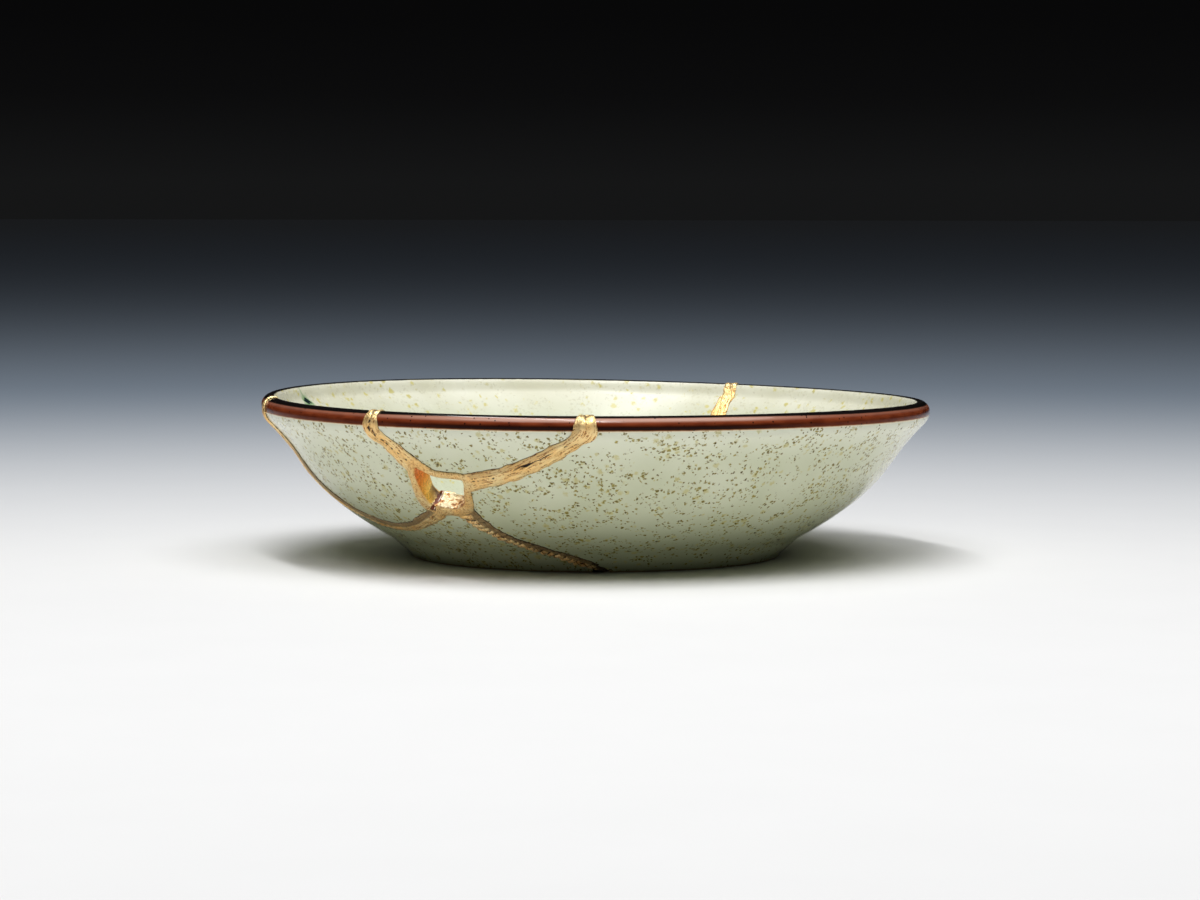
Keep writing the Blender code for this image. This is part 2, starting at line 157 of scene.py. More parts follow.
CRACK_UNDER_AND_UP_THE_BACK = (
    (-27.8, 0.835, 0.9), (-26.2, 0.783, 0.85), (-24.0, 0.739, 0.8), (-20.3, 0.691, 0.75),
    (-14.5, 0.643, 0.7), (-7.5, 0.603, 0.65), (0.2, 0.568, 0.6), (5.0, 0.505, 0.65),
    (17.0, 0.320, 0.75), (72.0, 0.170, 0.8), (128.0, 0.250, 0.8), (146.0, 0.420, 0.85),
    (151.5, 0.600, 0.9), (153.6, 0.780, 1.1), (153.8, 0.920, 1.15), (153.0, 1.0, 1.05),
    (152.7, 1.12, 1.05),
)
# How a bead is laid: its width against its joint's, how much wider it leaves the hole, how much
# narrower it crosses the lip, how deep its rope is twisted, how much of it is pitted, and the matt
# strip along one side (1 or -1), from which share of its half-width and how matt; that strip's
# darker colour is partly painted shade beside the raised bead
Manner = namedtuple("Manner", "spread mouth lip twist pitted dull_side dull_from dullness")
MANNERS = (
    Manner(1.45, 0.40, 0.32, 0.0, 1.0, 1, 0.70, 0.25),
    Manner(1.25, 0.25, 0.30, 0.0, 0.3, -1, 0.35, 0.35),
    Manner(1.05, 0.50, 0.45, 0.30, 0.0, 1, 0.10, 0.80),
    Manner(1.35, 0.50, 0.00, 1.00, 0.1, -1, 0.10, 0.85),
)
# Pits and cracks along each bead, as mm below the lip's crest, place across, half length in mm and
# half width, where the places across and half widths are shares of the bead's half-width
MARKS = (
    (
        (4.9, -0.10, 0.80, 0.16), (6.7, 0.15, 0.60, 0.14), (8.8, 0.10, 0.60, 0.14),
        (11.6, 0.00, 0.50, 0.11), (13.4, 0.10, 0.40, 0.10), (5.8, 0.32, 1.20, 0.07),
        (7.4, -0.25, 0.70, 0.07), (10.0, 0.30, 0.90, 0.06),
    ),
    ((21.5, -0.26, 1.80, 0.18), (20.0, -0.28, 7.80, 0.07), (10.5, -0.20, 0.60, 0.10)),
    (),
    (),
)
HOLE_CORNERS = (
    (-0.43, 0.66), (-0.25, 0.50), (-0.06, 0.40), (0.24, 0.36), (0.52, 0.33), (0.44, 0.02),
    (0.31, -0.45), (0.08, -0.59), (-0.22, -0.53), (-0.46, -0.50), (-0.51, 0.02), (-0.52, 0.42),
)
# The hole's bead, as mm outwards from the opening and mm proud of the glaze
HOLE_BEAD = ((0.0, 0.1), (0.25, 0.42), (0.8, 0.6), (1.4, 0.58), (1.85, 0.3), (2.0, -0.12))
SHARD_PLACES = {
    "shard_front_left": (-55.0, 0.88),
    "shard_front_middle": (-20.0, 0.96),
    "shard_right": (60.0, 0.80),
    "shard_back_left": (-130.0, 0.80),
}

# The brushed sprig inside, each stroke as (azimuth in degrees, height, slant in degrees from the
# level, half length, half width), with its lengths in mm
SPRIG = (
    (-109.4, 27.0, 100.0, 8.0, 0.35),
    (-109.1, 35.9, 140.0, 1.5, 0.55),
    (-108.4, 34.3, 140.0, 1.2, 0.60),
    (-106.0, 31.5, 50.0, 3.8, 0.90),
    (-112.5, 30.0, 150.0, 3.8, 0.90),
    (-106.8, 26.0, 40.0, 4.2, 1.00),
    (-113.5, 24.5, 145.0, 4.2, 1.00),
    (-110.8, 20.5, 100.0, 3.6, 0.90),
)

# Camera and light
CAMERA_AT = (0.98 * MM, -900.0 * MM, 89.2 * MM)
CAMERA_DOWN = 0.0712
CAMERA_ROLL = -0.0017
CAMERA_LENS = 112.57
SENSOR_WIDTH = 36.0
FLOOR_REACH = 8.0
# The middle of the pool of light painted on the floor
PAINTED_LIGHT_POOL_CENTRE = (0.0, -0.30, 0.0)
# Each light as its name, place, target, turn in degrees, width, depth and power
LIGHTS = (
    ("overhead", (0.07, -0.28, 1.00), (0.0, -0.08, 0.0), 0.0, 1.4, 0.70, 11.0),
    ("strip", (-0.12, -0.15, 1.00), (0.0, -0.07, 0.0), -14.0, 1.3, 0.09, 6.4),
)
# The room's brightness, as places on the way from the horizon up and levels there
ROOM_LEVELS = ((0.022, 0.0037), (0.045, 0.0024), (0.35, 0.010), (0.6, 0.035))


def unit(rows):
    """These vectors at length one."""
    return rows / np.linalg.norm(rows, axis=-1, keepdims=True)


def run_along(points):
    """How far along a line of points each of them lies."""
    return np.concatenate([[0.0], np.cumsum(np.linalg.norm(np.diff(points, axis=0), axis=1))])


def limited(value):
    """A number held between 0 and 1."""
    return min(1.0, max(0.0, value))


def noise_at(x, y, z):
    return noise.noise(Vector((x, y, z)))


def linked(name, data):
    """A new object in the scene."""
    made = bpy.data.objects.new(name, data)
    bpy.context.scene.collection.objects.link(made)
    return made


def points_of(mesh):
    coords = np.empty(len(mesh.vertices) * 3)
    mesh.vertices.foreach_get("co", coords)
    return coords.reshape(-1, 3)


def bezier(start, start_pull, end_pull, end, steps):
    """Points of a cubic curve in the plane of radius and height."""
    t = np.linspace(0.0, 1.0, steps + 1)[:, None]
    s = 1 - t
    return start * s**3 + start_pull * 3 * s * s * t + end_pull * 3 * s * t * t + end * t**3


def arc(centre, across, up, start_angle, end_angle, steps):
    """Points of an elliptical arc after its start, its angles from the outward radius."""
    angles = np.linspace(start_angle, end_angle, steps + 1)[1:]
    return np.stack([centre[0] + across * np.cos(angles), centre[1] + up * np.sin(angles)], 1)


def profile_normals(points):
    """The outward unit normal at each point of an outline that runs foot, lip, inside."""
    along = np.gradient(points, axis=0)
    return unit(np.stack([along[:, 1], -along[:, 0]], 1))


class Profile:
    """The plate's section as (radius, height) points: axis, foot, outside, lip, inside, axis."""

    def __init__(self):
        centre = np.array([RIM_RADIUS - LIP_UNDERCUT_RADIUS, HEIGHT - LIP_OUTER_ROUND])
        turn = math.pi / 2 - WALL_FLARE_ANGLE
        bottom = np.array([FOOT_WAIST_RADIUS, FOOT_WAIST_HEIGHT])
        top = centre + LIP_UNDERCUT_RADIUS * np.array([math.cos(turn), -math.sin(turn)])
        spring = np.array([math.cos(WALL_SPRING_ANGLE), math.sin(WALL_SPRING_ANGLE)])
        flare = np.array([math.cos(WALL_FLARE_ANGLE), math.sin(WALL_FLARE_ANGLE)])
        wall = bezier(
            bottom, bottom + WALL_SPRING_PULL * spring,
            top - WALL_FLARE_PULL * flare, top, WALL_STEPS,
        )
        share = np.linspace(0.0, 1.0, WALL_STEPS + 1)[:, None]
        thickness = WALL_THICKNESS + (LIP_WALL_THICKNESS - WALL_THICKNESS) * share
        inside = (wall - profile_normals(wall) * thickness)[::-1]
        crest = (CREST_RADIUS, HEIGHT - LIP_OUTER_ROUND)
        crest_top = np.array([CREST_RADIUS, HEIGHT])
        inner_lip = (
            crest_top, crest_top - (LIP_INNER_PULL, 0.0),
            inside[1] + LIP_INNER_PULL * flare, inside[1],
        )
        foot_inner = FOOT_RADIUS - FOOT_FACE
        edge = (FOOT_RADIUS - FOOT_EDGE_ROUND, FOOT_EDGE_ROUND)
        foot = [
            self.even((0.0, RECESS_DEPTH), (foot_inner - RECESS_DRAFT, RECESS_DEPTH), 30),
            self.even((foot_inner - RECESS_DRAFT, RECESS_DEPTH), (foot_inner, 0.0), 4),
            self.even((foot_inner, 0.0), (FOOT_RADIUS - FOOT_EDGE_ROUND, 0.0), 4),
            arc(edge, FOOT_EDGE_ROUND, FOOT_EDGE_ROUND, -math.pi / 2, 0.0, 4),
            self.even((FOOT_RADIUS, FOOT_EDGE_ROUND), tuple(bottom), 8),
        ]
        outside = [
            wall,
            arc(centre, LIP_UNDERCUT_RADIUS, LIP_UNDERCUT_RADIUS, -turn, 0.0, ROUND_STEPS),
            arc(crest, LIP_OUTER_ROUND, LIP_OUTER_ROUND, 0.0, math.pi / 2, 2 * ROUND_STEPS),
        ]
        inner = [
            bezier(*inner_lip, ROUND_STEPS)[1:],
            inside[2:],
            self.even((FLOOR_RADIUS, FLOOR_HEIGHT), (0.0, FLOOR_HEIGHT), 30),
            np.array([[0.0, FLOOR_HEIGHT]]),
        ]
        outer = np.concatenate(foot + outside)
        self.points = np.concatenate([outer] + inner)
        self.crest = len(outer) - 1
        self.length = run_along(self.points)
        self.normals = profile_normals(self.points)
        self.widest = int(np.argmax(self.points[:, 0]))
        self.inside = slice(self.crest + ROUND_STEPS, None)

    @staticmethod
    def even(start, end, steps):
        """Points of a straight run without its last."""
        share = np.arange(steps)[:, None] / steps
        return np.array(start) + (np.array(end) - np.array(start)) * share

    def at(self, length):
        """The point and the outward normal at a length along the outline."""
        point = np.stack([np.interp(length, self.length, self.points[:, k]) for k in (0, 1)], -1)
        normal = np.stack([np.interp(length, self.length, self.normals[:, k]) for k in (0, 1)], -1)
        return point, unit(normal)


def warp(height, azimuth):
    """How much the kiln lifted points at these heights and azimuths (in radians)."""
    share = np.clip((height - FLOOR_HEIGHT) / (HEIGHT - FLOOR_HEIGHT), 0.0, None)
    return share * (RIM_TWIST * np.sin(2 * azimuth) - RIM_TILT * np.sin(azimuth))


def surface(profile, azimuth, length):
    """The plate's points and normals at azimuths (in radians) and lengths along the outline."""
    point, normal = profile.at(length)
    sine, cosine = np.sin(azimuth), np.cos(azimuth)
    height = point[..., 1] + warp(point[..., 1], azimuth)
    places = np.stack([point[..., 0] * sine, -point[..., 0] * cosine, height], -1)
    normals = np.stack([normal[..., 0] * sine, -normal[..., 0] * cosine, normal[..., 1]], -1)
    return places, normals


def place(profile, azimuth_degrees, reach):
    """The point of the outside at an azimuth and reach, as the breaks' waypoints are given."""
    azimuth = math.radians(azimuth_degrees)
    radius = min(reach, 1.0) * RIM_RADIUS
    outside = profile.points[:profile.widest + 1]
    height = float(np.interp(radius, outside[:, 0], outside[:, 1]))
    height += float(warp(height, azimuth)) + max(0.0, reach - 1.0) * RIM_RADIUS
    return np.array([radius * math.sin(azimuth), -radius * math.cos(azimuth), height])


def smooth_path(points, steps):
    """A smooth curve through rows of numbers."""
    points = np.asarray(points, float)
    path = []
    last = len(points) - 1
    for index in range(last):
        before = points[max(index - 1, 0)]
        start, end = points[index], points[index + 1]
        after = points[min(index + 2, last)]
        for step in range(steps):
            t = step / steps
            path.append(
                0.5 * (
                    2 * start
                    + (end - before) * t
                    + (2 * before - 5 * start + 4 * end - after) * t**2
                    + (3 * start - before - 3 * end + after) * t**3
                )
            )
    path.append(points[-1])
    return np.array(path)


def mesh_object(name, verts, faces):
    mesh = bpy.data.meshes.new(name)
    mesh.from_pydata([tuple(vert) for vert in verts], [], faces)
    return linked(name, mesh)


def loft(name, rings, closed=False):
    """A solid through rings of as many points each: capped at both ends, or joined end to end."""
    rings = np.asarray(rings, float)
    count, sides = rings.shape[:2]
    faces = []
    for ring in range(count if closed else count - 1):
        after = (ring + 1) % count
        for side in range(sides):
            beside = (side + 1) % sides
            faces.append((
                ring * sides + side, ring * sides + beside,
                after * sides + beside, after * sides + side,
            ))
    if not closed:
        faces.append(tuple(range(sides))[::-1])
        faces.append(tuple(range((count - 1) * sides, count * sides)))
    made = mesh_object(name, rings.reshape(-1, 3), faces)
    bm = bmesh.new()
    bm.from_mesh(made.data)
    bmesh.ops.recalc_face_normals(bm, faces=bm.faces)
    bm.to_mesh(made.data)
    bm.free()
    return made


def evaluated_mesh(thing):
    graph = bpy.context.evaluated_depsgraph_get()
    return bpy.data.meshes.new_from_object(thing.evaluated_get(graph))


def remove(things):
    for thing in things:
        bpy.data.objects.remove(thing, do_unlink=True)


class Crack:
    """One break: its points on the outside, and where the rays from the focus meet the plate."""

    def __init__(self, profile, waypoints, manner, marks):
        self.profile = profile
        self.manner = manner
        self.marks = marks
        outside = smooth_path([place(profile, a, reach) for a, reach, _ in waypoints], CRACK_STEPS)
        shares = smooth_path([[share] for _, _, share in waypoints], CRACK_STEPS)[:, 0]
        self.outside = outside
        self.shares = shares
        self.azimuths = np.unwrap(np.arctan2(outside[:, 0], -outside[:, 1]))
        self.lay_bead()

    def hits(self, inside):
        """For each point below the lip, its azimuth, length along the outline and share."""
        found = []
        points, length = self.profile.points, self.profile.length
        for place_, azimuth, share in zip(self.outside, self.azimuths, self.shares):
            radius = math.hypot(place_[0], place_[1])
            angle = math.atan2(radius, FOCUS_HEIGHT - place_[2])
            lifted = points[:, 1] + warp(points[:, 1], azimuth)
            angles = np.arctan2(points[:, 0], FOCUS_HEIGHT - lifted)
            if inside:
                side = self.profile.inside
                at = np.interp(angle, angles[side][::-1], length[side][::-1])
            else:
                side = slice(0, self.profile.widest + 1)
                rising = np.maximum.accumulate(angles[side] + np.arange(side.stop) * 1e-9)
                at = np.interp(angle, rising, length[side])
            if radius > COURSE_END:
                break
            found.append((azimuth, at, share))
        return np.array(found)

    def blade(self, name):
        """A cutter through the plate along the break, as wide as the joint."""
        rings = []
        last = len(self.outside) - 1
        for index, point in enumerate(self.outside):
            ray = point - FOCUS
            along = self.outside[min(index + 1, last)] - self.outside[max(index - 1, 0)]
            side = unit(np.cross(along, ray)) * (JOINT_WIDTH * self.shares[index] / 2)
            near, far = [FOCUS + ray * reach for reach in CUTTER_REACH]
            rings.append([near + side, far + side, far - side, near - side])
        return loft(name, rings)

    def web(self, name):
        """The filling of the joint, from just under the outside to just under the inside."""
        outer, inner = self.hits(False), self.hits(True)
        count = min(len(outer), len(inner))
        outer, inner = outer[:count], inner[:count]
        out_points, _ = surface(self.profile, outer[:, 0], outer[:, 1])
        in_points, _ = surface(self.profile, inner[:, 0], inner[:, 1])
        rings = []
        for index in range(count):
            along = out_points[min(index + 1, count - 1)] - out_points[max(index - 1, 0)]
            depth = unit(out_points[index] - in_points[index])
            side = unit(np.cross(along, depth)) * (JOINT_WIDTH * outer[index, 2] / 2 - PIECE_GAP)
            near = in_points[index] + depth * BEAD_ROOT * 0.5
            far = out_points[index] - depth * BEAD_ROOT * 0.5
            far[2] = max(far[2], GROUND_CLEARANCE)
            rings.append([near + side, far + side, far - side, near - side])
        return loft(name, rings)

    def lay_bead(self):
        """Lays the bead's course evenly from the hole up the outside, over the lip and inside."""
        outer, inner = self.hits(False), self.hits(True)[::-1]
        share = np.linspace(0.0, 1.0, OVER_LIP_STEPS)[1:-1, None]
        over_lip = outer[-1] + (inner[0] - outer[-1]) * share
        route = np.concatenate([outer, over_lip, inner])
        places, _ = surface(self.profile, route[:, 0], route[:, 1])
        run = run_along(places)
        keep = np.concatenate([[True], np.diff(run) > 1e-7])
        route, run = route[keep], run[keep]
        self.run = np.arange(0.0, run[-1], BEAD_STEP)
        azimuth, length, share = [np.interp(self.run, run, route[:, k]) for k in range(3)]
        self.places, self.normals = surface(self.profile, azimuth, length)
        tangents = np.gradient(self.places, axis=0)
        window = 2 * SMOOTH_REACH + 1
        smooth = np.ones(window) / window
        for axis in range(3):
            padded = np.pad(tangents[:, axis], SMOOTH_REACH, mode="edge")
            tangents[:, axis] = np.convolve(padded, smooth, mode="valid")
        self.sides = unit(np.cross(tangents, self.normals))
        near_rim = np.hypot(self.places[:, 0], self.places[:, 1]) > RIM_ZONE
        self.crest_run = self.run[np.argmax(self.places[:, 2] * near_rim)]
        manner = self.manner
        front = np.clip((DULL_END - self.run) / DULL_FADE, 0.0, 1.0)
        mouth = manner.mouth * np.exp(-((self.run / BEAD_MOUTH) ** 2))
        lip = manner.lip * np.exp(-(((self.run - self.crest_run) / BEAD_LIP_REACH) ** 2))
        halves = BEAD_WIDTH / 2 * share * (1 + (manner.spread - 1) * front)
        self.halves = halves * (1 + mouth) * (1 - lip)

    def dull(self, run, across):
        """How far the bead is a thin matt film, 0 to 1: a strip on one side, its colour partly
        painted shade.
        """
        strip = limited((across * self.manner.dull_side - self.manner.dull_from) / 0.15)
        return self.manner.dullness * strip * limited((DULL_END - run) / DULL_FADE)

    def strand(self, run, across):
        """The rope's twist here, from -1 in its grooves to 1 as far as the bead is a rope."""
        stray = noise_at(run / MM * 0.4, across, 9.5)
        turn = 2 * math.pi * run / STRAND_PITCH + 2.6 * across + 2.5 * stray
        return self.manner.twist * math.sin(turn) * limited((ROPE_END - run) / ROPE_FADE)

    def pit(self, run, across):
        """How deep the gold is pitted or cracked here, from 0 to 1."""
        stray = 0.10 * noise_at(run / MM * 0.6, 2.5, 0.5)
        deepest = 0.0
        for below, middle, half_length, half_width in self.marks:
            along = (self.crest_run - run) / MM - below
            away = math.hypot(along / half_length, (across + stray - middle) / half_width)
            deepest = max(deepest, 2.2 * (1.0 - away))
        drawn_out = noise_at(run / MM * 0.9, across * 3.2, self.crest_run / MM)
        threshold = 0.72 - 0.32 * self.manner.pitted
        deepest = max(deepest, 6.0 * (drawn_out * math.exp(-((across / 0.6) ** 2)) - threshold))
        return min(1.0, deepest)


def bead(name, crack, seed):
    """A gold bead along both faces of a break, uneven in width and height, ridged lengthwise."""
    places = crack.places
    low = np.clip((places[:, 2] - 0.5 * MM) / (2.0 * MM), 0.0, 1.0)
    rings = []
    for index, (spot, normal, side) in enumerate(zip(places, crack.normals, crack.sides)):
        run = crack.run[index]
        at = run / MM
        wobble = noise_at(at * 0.33, seed, 0.5)
        swell = noise_at(at * 0.45, seed, 7.5)
        half = crack.halves[index] * (1 + BEAD_SWELL * swell)
        centre = spot + side * (BEAD_WANDER * wobble)
        near_lip = math.exp(-((run - crack.crest_run) / (2.6 * MM)) ** 2)
        past_lip = math.exp(-((run - crack.crest_run - 1.6 * MM) / (1.2 * MM)) ** 2)
        ring = []
        for step in range(BEAD_SIDES):
            angle = math.pi * step / (BEAD_SIDES - 1)
            across = math.cos(angle)
            round_ = (1 - abs(across) ** 3.2) ** 0.5
            lobes = max(0.0, 1 - (2 * abs(across - 0.05) - 1) ** 2) ** 0.5
            round_ += (lobes - round_) * near_lip
            ridge = noise_at(at * 0.24 + 3.0, across * 4.6, seed)
            rope = 0.2 * crack.strand(run, across) - 0.25 * crack.manner.twist
            film = 0.45 * crack.dull(run, across)
            height = BEAD_HEIGHT * (round_ * (1 + 0.5 * ridge + rope) - film) * (1 - 0.3 * near_lip)
            height *= 1 - 0.6 * past_lip
            height = height * low[index] - 0.12 * MM * (1 - low[index])
            ring.append(centre + side * half * across + normal * min(height, BEAD_MOST))
        root = BEAD_ROOT + 0.9 * MM * (1 - low[index])
        ring.append(centre - side * half * 0.9 - normal * root)
        ring.append(centre + side * half * 0.9 - normal * root)
        rings.append(ring)
    rings = np.array(rings)
    rings[..., 2] = np.maximum(rings[..., 2], GROUND_CLEARANCE)
    return loft(name, rings)


class Hole:
    """The opening of the lost piece: its outline in a plane that touches the wall, and its rays."""

    def __init__(self, profile):
        self.profile = profile
        self.centre = place(profile, HOLE_AZIMUTH, HOLE_REACH)
        self.azimuth = math.radians(HOLE_AZIMUTH)
        self.right = np.array([math.cos(self.azimuth), math.sin(self.azimuth), 0.0])
        self.up = unit(place(profile, HOLE_AZIMUTH, HOLE_REACH + 0.01) - self.centre)
        corners = np.array(HOLE_CORNERS) * (HOLE_WIDTH, HOLE_HEIGHT)
        self.outline = self.rounded(corners[::-1])

    @staticmethod
    def rounded(corners):
        """The outline with its corners cut twice, then spaced evenly."""
        for cut in HOLE_CORNER_CUTS:
            after = np.roll(corners, -1, axis=0)
            pair = [corners * (1 - cut) + after * cut, corners * cut + after * (1 - cut)]
            corners = np.stack(pair, 1).reshape(-1, 2)
        loop = np.vstack([corners, corners[:1]])
        run = run_along(loop)
        even = np.linspace(0.0, run[-1], HOLE_POINTS + 1)[:-1]
        return np.stack([np.interp(even, run, loop[:, k]) for k in (0, 1)], 1)

    def grown(self, distance, extra=0.0, dip=0.0):
        """The outline moved outwards, by an extra below and below left, with its sill lowered."""
        along = np.roll(self.outline, -1, axis=0) - np.roll(self.outline, 1, axis=0)
        moved = self.outline + unit(np.stack([along[:, 1], -along[:, 0]], 1)) * distance
        left, below = np.clip(-self.outline / (2.5 * MM), 0.0, 1.0).T
        lower = np.clip((2.0 * MM - self.outline[:, 1]) / (4.0 * MM), 0.0, 1.0)
        moved -= extra * np.stack([left * lower, below], 1)
        return moved - dip * np.stack([left * below, below], 1)

    def local(self, coords):
        """Each point's place in the outline's plane, seen along its ray from the focus."""
        across = np.cross(self.right, self.up)
        reach = ((self.centre - FOCUS) @ across) / ((coords - FOCUS) @ across)
        flat = FOCUS + (coords - FOCUS) * reach[:, None] - self.centre
        return np.stack([flat @ self.right, flat @ self.up], 1)

    def distances(self, local):
        """How far each point lies from the opening's outline, without a sign."""
        found = np.full(len(local), 1.0)
        for index in np.flatnonzero(np.linalg.norm(local, axis=1) < 1.2 * HOLE_WIDTH):
            found[index] = np.linalg.norm(self.outline - local[index], axis=1).min()
        return found

    def rays(self, flat):
        points = self.centre + self.right * flat[:, :1] + self.up * flat[:, 1:]
        return unit(points - FOCUS)

    def depths(self, rays, inside):
        """How far from the focus each ray meets the inside or the outside."""
        points = self.profile.points
        side = self.profile.inside if inside else slice(0, self.profile.widest)
        found = []
        for ray in rays:
            azimuth = math.atan2(ray[0], -ray[1])
            lifted = points[side, 1] + warp(points[side, 1], azimuth)
            angles = np.arctan2(points[side, 0], FOCUS_HEIGHT - lifted)
            reach = np.hypot(points[side, 0], FOCUS_HEIGHT - lifted)
            order = np.argsort(angles)
            angle = math.atan2(math.hypot(ray[0], ray[1]), -ray[2])
            found.append(np.interp(angle, angles[order], reach[order]))
        return np.array(found)

    def block(self, name, distance):
        """A cutter through the wall with the outline moved outwards."""
        rays = self.rays(self.grown(distance))
        depth = self.depths(rays, False)[:, None]
        return loft(name, [FOCUS + rays * depth * reach for reach in CUTTER_REACH])

    def ring(self, name):
        """The gold round the opening: a bead on each face and the lining between them."""
        edge = [
            (across * MM, proud * MM, HOLE_BORDER_EXTRA * (across * MM / HOLE_BORDER) ** 2)
            for across, proud in HOLE_BEAD
        ]
        edge += [(HOLE_LINING + 0.2 * MM, -0.35 * MM, 0.0), (HOLE_LINING, -0.6 * MM, 0.0)]
        sections = [(*spot, False) for spot in edge] + [(*spot, True) for spot in edge[::-1]]
        columns = []
        for across, proud, extra, inside in sections:
            dip = SILL_DIP * (1 - across / HOLE_BORDER) if inside else 0.0
            rays = self.rays(self.grown(across, extra, dip))
            depth = self.depths(rays, inside) + (-proud if inside else proud)
            columns.append(FOCUS + rays * depth[:, None])
        return loft(name, np.stack(columns, 1), closed=True)


def chip_cutter(name):
    """A small three-sided flake out of the foot's outer edge."""
    azimuth = math.radians(CHIP_AZIMUTH)
    out = Vector((math.sin(azimuth), -math.cos(azimuth), 0.0))
    right = Vector((math.cos(azimuth), math.sin(azimuth), 0.0))
    floor = Vector((0.0, 0.0, -2.0 * MM))
    front = out * (FOOT_RADIUS + 2.0 * MM)
    top = out * (FOOT_RADIUS + CHIP_HEIGHT) + Vector((0.0, 0.0, CHIP_HEIGHT))
    corners = [
        front - right * CHIP_WIDTH / 2 + floor,
        front + right * CHIP_WIDTH / 2 + floor,
        front - right * CHIP_WIDTH / 2,
        front + right * CHIP_WIDTH / 2,
        top - right * CHIP_WIDTH / 4,
        top - right * CHIP_WIDTH / 4 + out * 2.0 * MM,
        out * (FOOT_RADIUS - CHIP_DEPTH) + floor,
        out * (FOOT_RADIUS - CHIP_DEPTH),
    ]
    bm = bmesh.new()
    verts = [bm.verts.new(corner) for corner in corners]
    bmesh.ops.convex_hull(bm, input=verts)
    bmesh.ops.delete(bm, geom=[vert for vert in bm.verts if not vert.link_faces], context="VERTS")
    bmesh.ops.recalc_face_normals(bm, faces=bm.faces)
    mesh = bpy.data.meshes.new(name)
    bm.to_mesh(mesh)
    bm.free()
    return linked(name, mesh)


def fine_plate(profile):
    """The unbroken plate, with the faint rings that throwing left on its walls."""
    count = len(profile.points)
    azimuths = np.arange(SIDES) * 2 * math.pi / SIDES
    ring_points = profile.points[1:-1]
    lengths = profile.length[1:-1]
    fade = np.clip((RIM_RADIUS * 0.96 - ring_points[:, 0]) / (4 * MM), 0.0, 1.0)
    fade *= np.clip((ring_points[:, 1] - 3.2 * MM) / (3 * MM), 0.0, 1.0)
    fade[profile.crest:] *= 0.25
    verts = []
    for azimuth in azimuths:
        places, normals = surface(profile, np.full(count - 2, azimuth), lengths)
        ripple = [
            noise_at(length / MM * 0.17, math.sin(azimuth) * 0.8, math.cos(azimuth) * 0.8)
            for length in lengths
        ]
        verts.append(places - normals * (RIPPLE_DEPTH * fade * (0.5 + np.array(ripple)))[:, None])
    verts = np.concatenate(verts)
    rows = count - 2
    faces = []
    for side in range(SIDES):
        beside = (side + 1) % SIDES
        for row in range(rows - 1):
            low, low_beside = side * rows + row, beside * rows + row
            faces.append((low, low_beside, low_beside + 1, low + 1))
    faces.append(tuple(side * rows for side in range(SIDES))[::-1])
    faces.append(tuple(side * rows + rows - 1 for side in range(SIDES)))
    return mesh_object("plate_whole", verts, faces)


def boolean(target, operation, tool):
    cut = target.modifiers.new(operation, "BOOLEAN")
    cut.operation = operation
    cut.solver = "EXACT"
    cut.object = tool


def body_numbers(mesh):
    """The number of the separate body that each corner belongs to."""
    edges = np.array([edge.vertices[:] for edge in mesh.edges])
    label = np.arange(len(mesh.vertices))
    while True:
        low = np.minimum(label[edges[:, 0]], label[edges[:, 1]])
        before = label.copy()
        np.minimum.at(label, edges[:, 0], low)
        np.minimum.at(label, edges[:, 1], low)
        label = label[label]
        if (label == before).all():
            return label


def closed_triangles(mesh):
    """The mesh's triangles and each one's face number, without pairs that lie back to back."""
    mesh.calc_loop_triangles()
    corners = np.array([triangle.vertices[:] for triangle in mesh.loop_triangles])
    owners = np.array([triangle.polygon_index for triangle in mesh.loop_triangles])
    _, which, times = np.unique(
        np.sort(corners, axis=1), axis=0, return_inverse=True, return_counts=True
    )
    once = times[which.reshape(-1)] == 1
    return corners[once], owners[once]


def make_shards(profile, cracks, hole, materials):
    """Cuts the fine plate along the breaks, and gives each shard its own object."""
    whole = fine_plate(profile)
    cutter = hole.block("joints", HOLE_LINING + PIECE_GAP)
    blades = [crack.blade(f"blade_{index}") for index, crack in enumerate(cracks)]
    for blade in blades:
        boolean(cutter, "UNION", blade)
    chip = chip_cutter("foot_chip")
    for material in materials:
        whole.data.materials.append(material)
    boolean(whole, "DIFFERENCE", cutter)
    boolean(whole, "DIFFERENCE", chip)
    mesh = evaluated_mesh(whole)
    remove([whole, cutter, chip] + blades)
    label = body_numbers(mesh)
    coords = points_of(mesh)
    corners, owners = closed_triangles(mesh)
    centres = np.array([face.center[:] for face in mesh.polygons])[owners]
    heights = centres[:, 2] - warp(centres[:, 2], np.arctan2(centres[:, 0], -centres[:, 1]))
    in_band = (heights > LIP_BAND_EDGE) & (heights < LIP_GLOSS_EDGE)
    in_band &= np.hypot(centres[:, 0], centres[:, 1]) > CREST_RADIUS
    shards = {}
    for name, spot in SHARD_PLACES.items():
        target = place(profile, *spot)
        nearest = int(np.argmin(np.linalg.norm(coords - target, axis=1)))
        keep = np.flatnonzero(label == label[nearest])
        renumber = np.full(len(coords), -1)
        renumber[keep] = np.arange(len(keep))
        mine = renumber[corners[:, 0]] >= 0
        shard = mesh_object(f"glazed_{name}", coords[keep], renumber[corners[mine]].tolist())
        for material in materials:
            shard.data.materials.append(material)
        shard.data.polygons.foreach_set("material_index", in_band[mine].astype(np.int32))
        shard.data.shade_smooth()
        shard.data.set_sharp_from_angle(angle=SHARP_ANGLE)
        shards[name] = shard
    bpy.data.meshes.remove(mesh)
    return shards


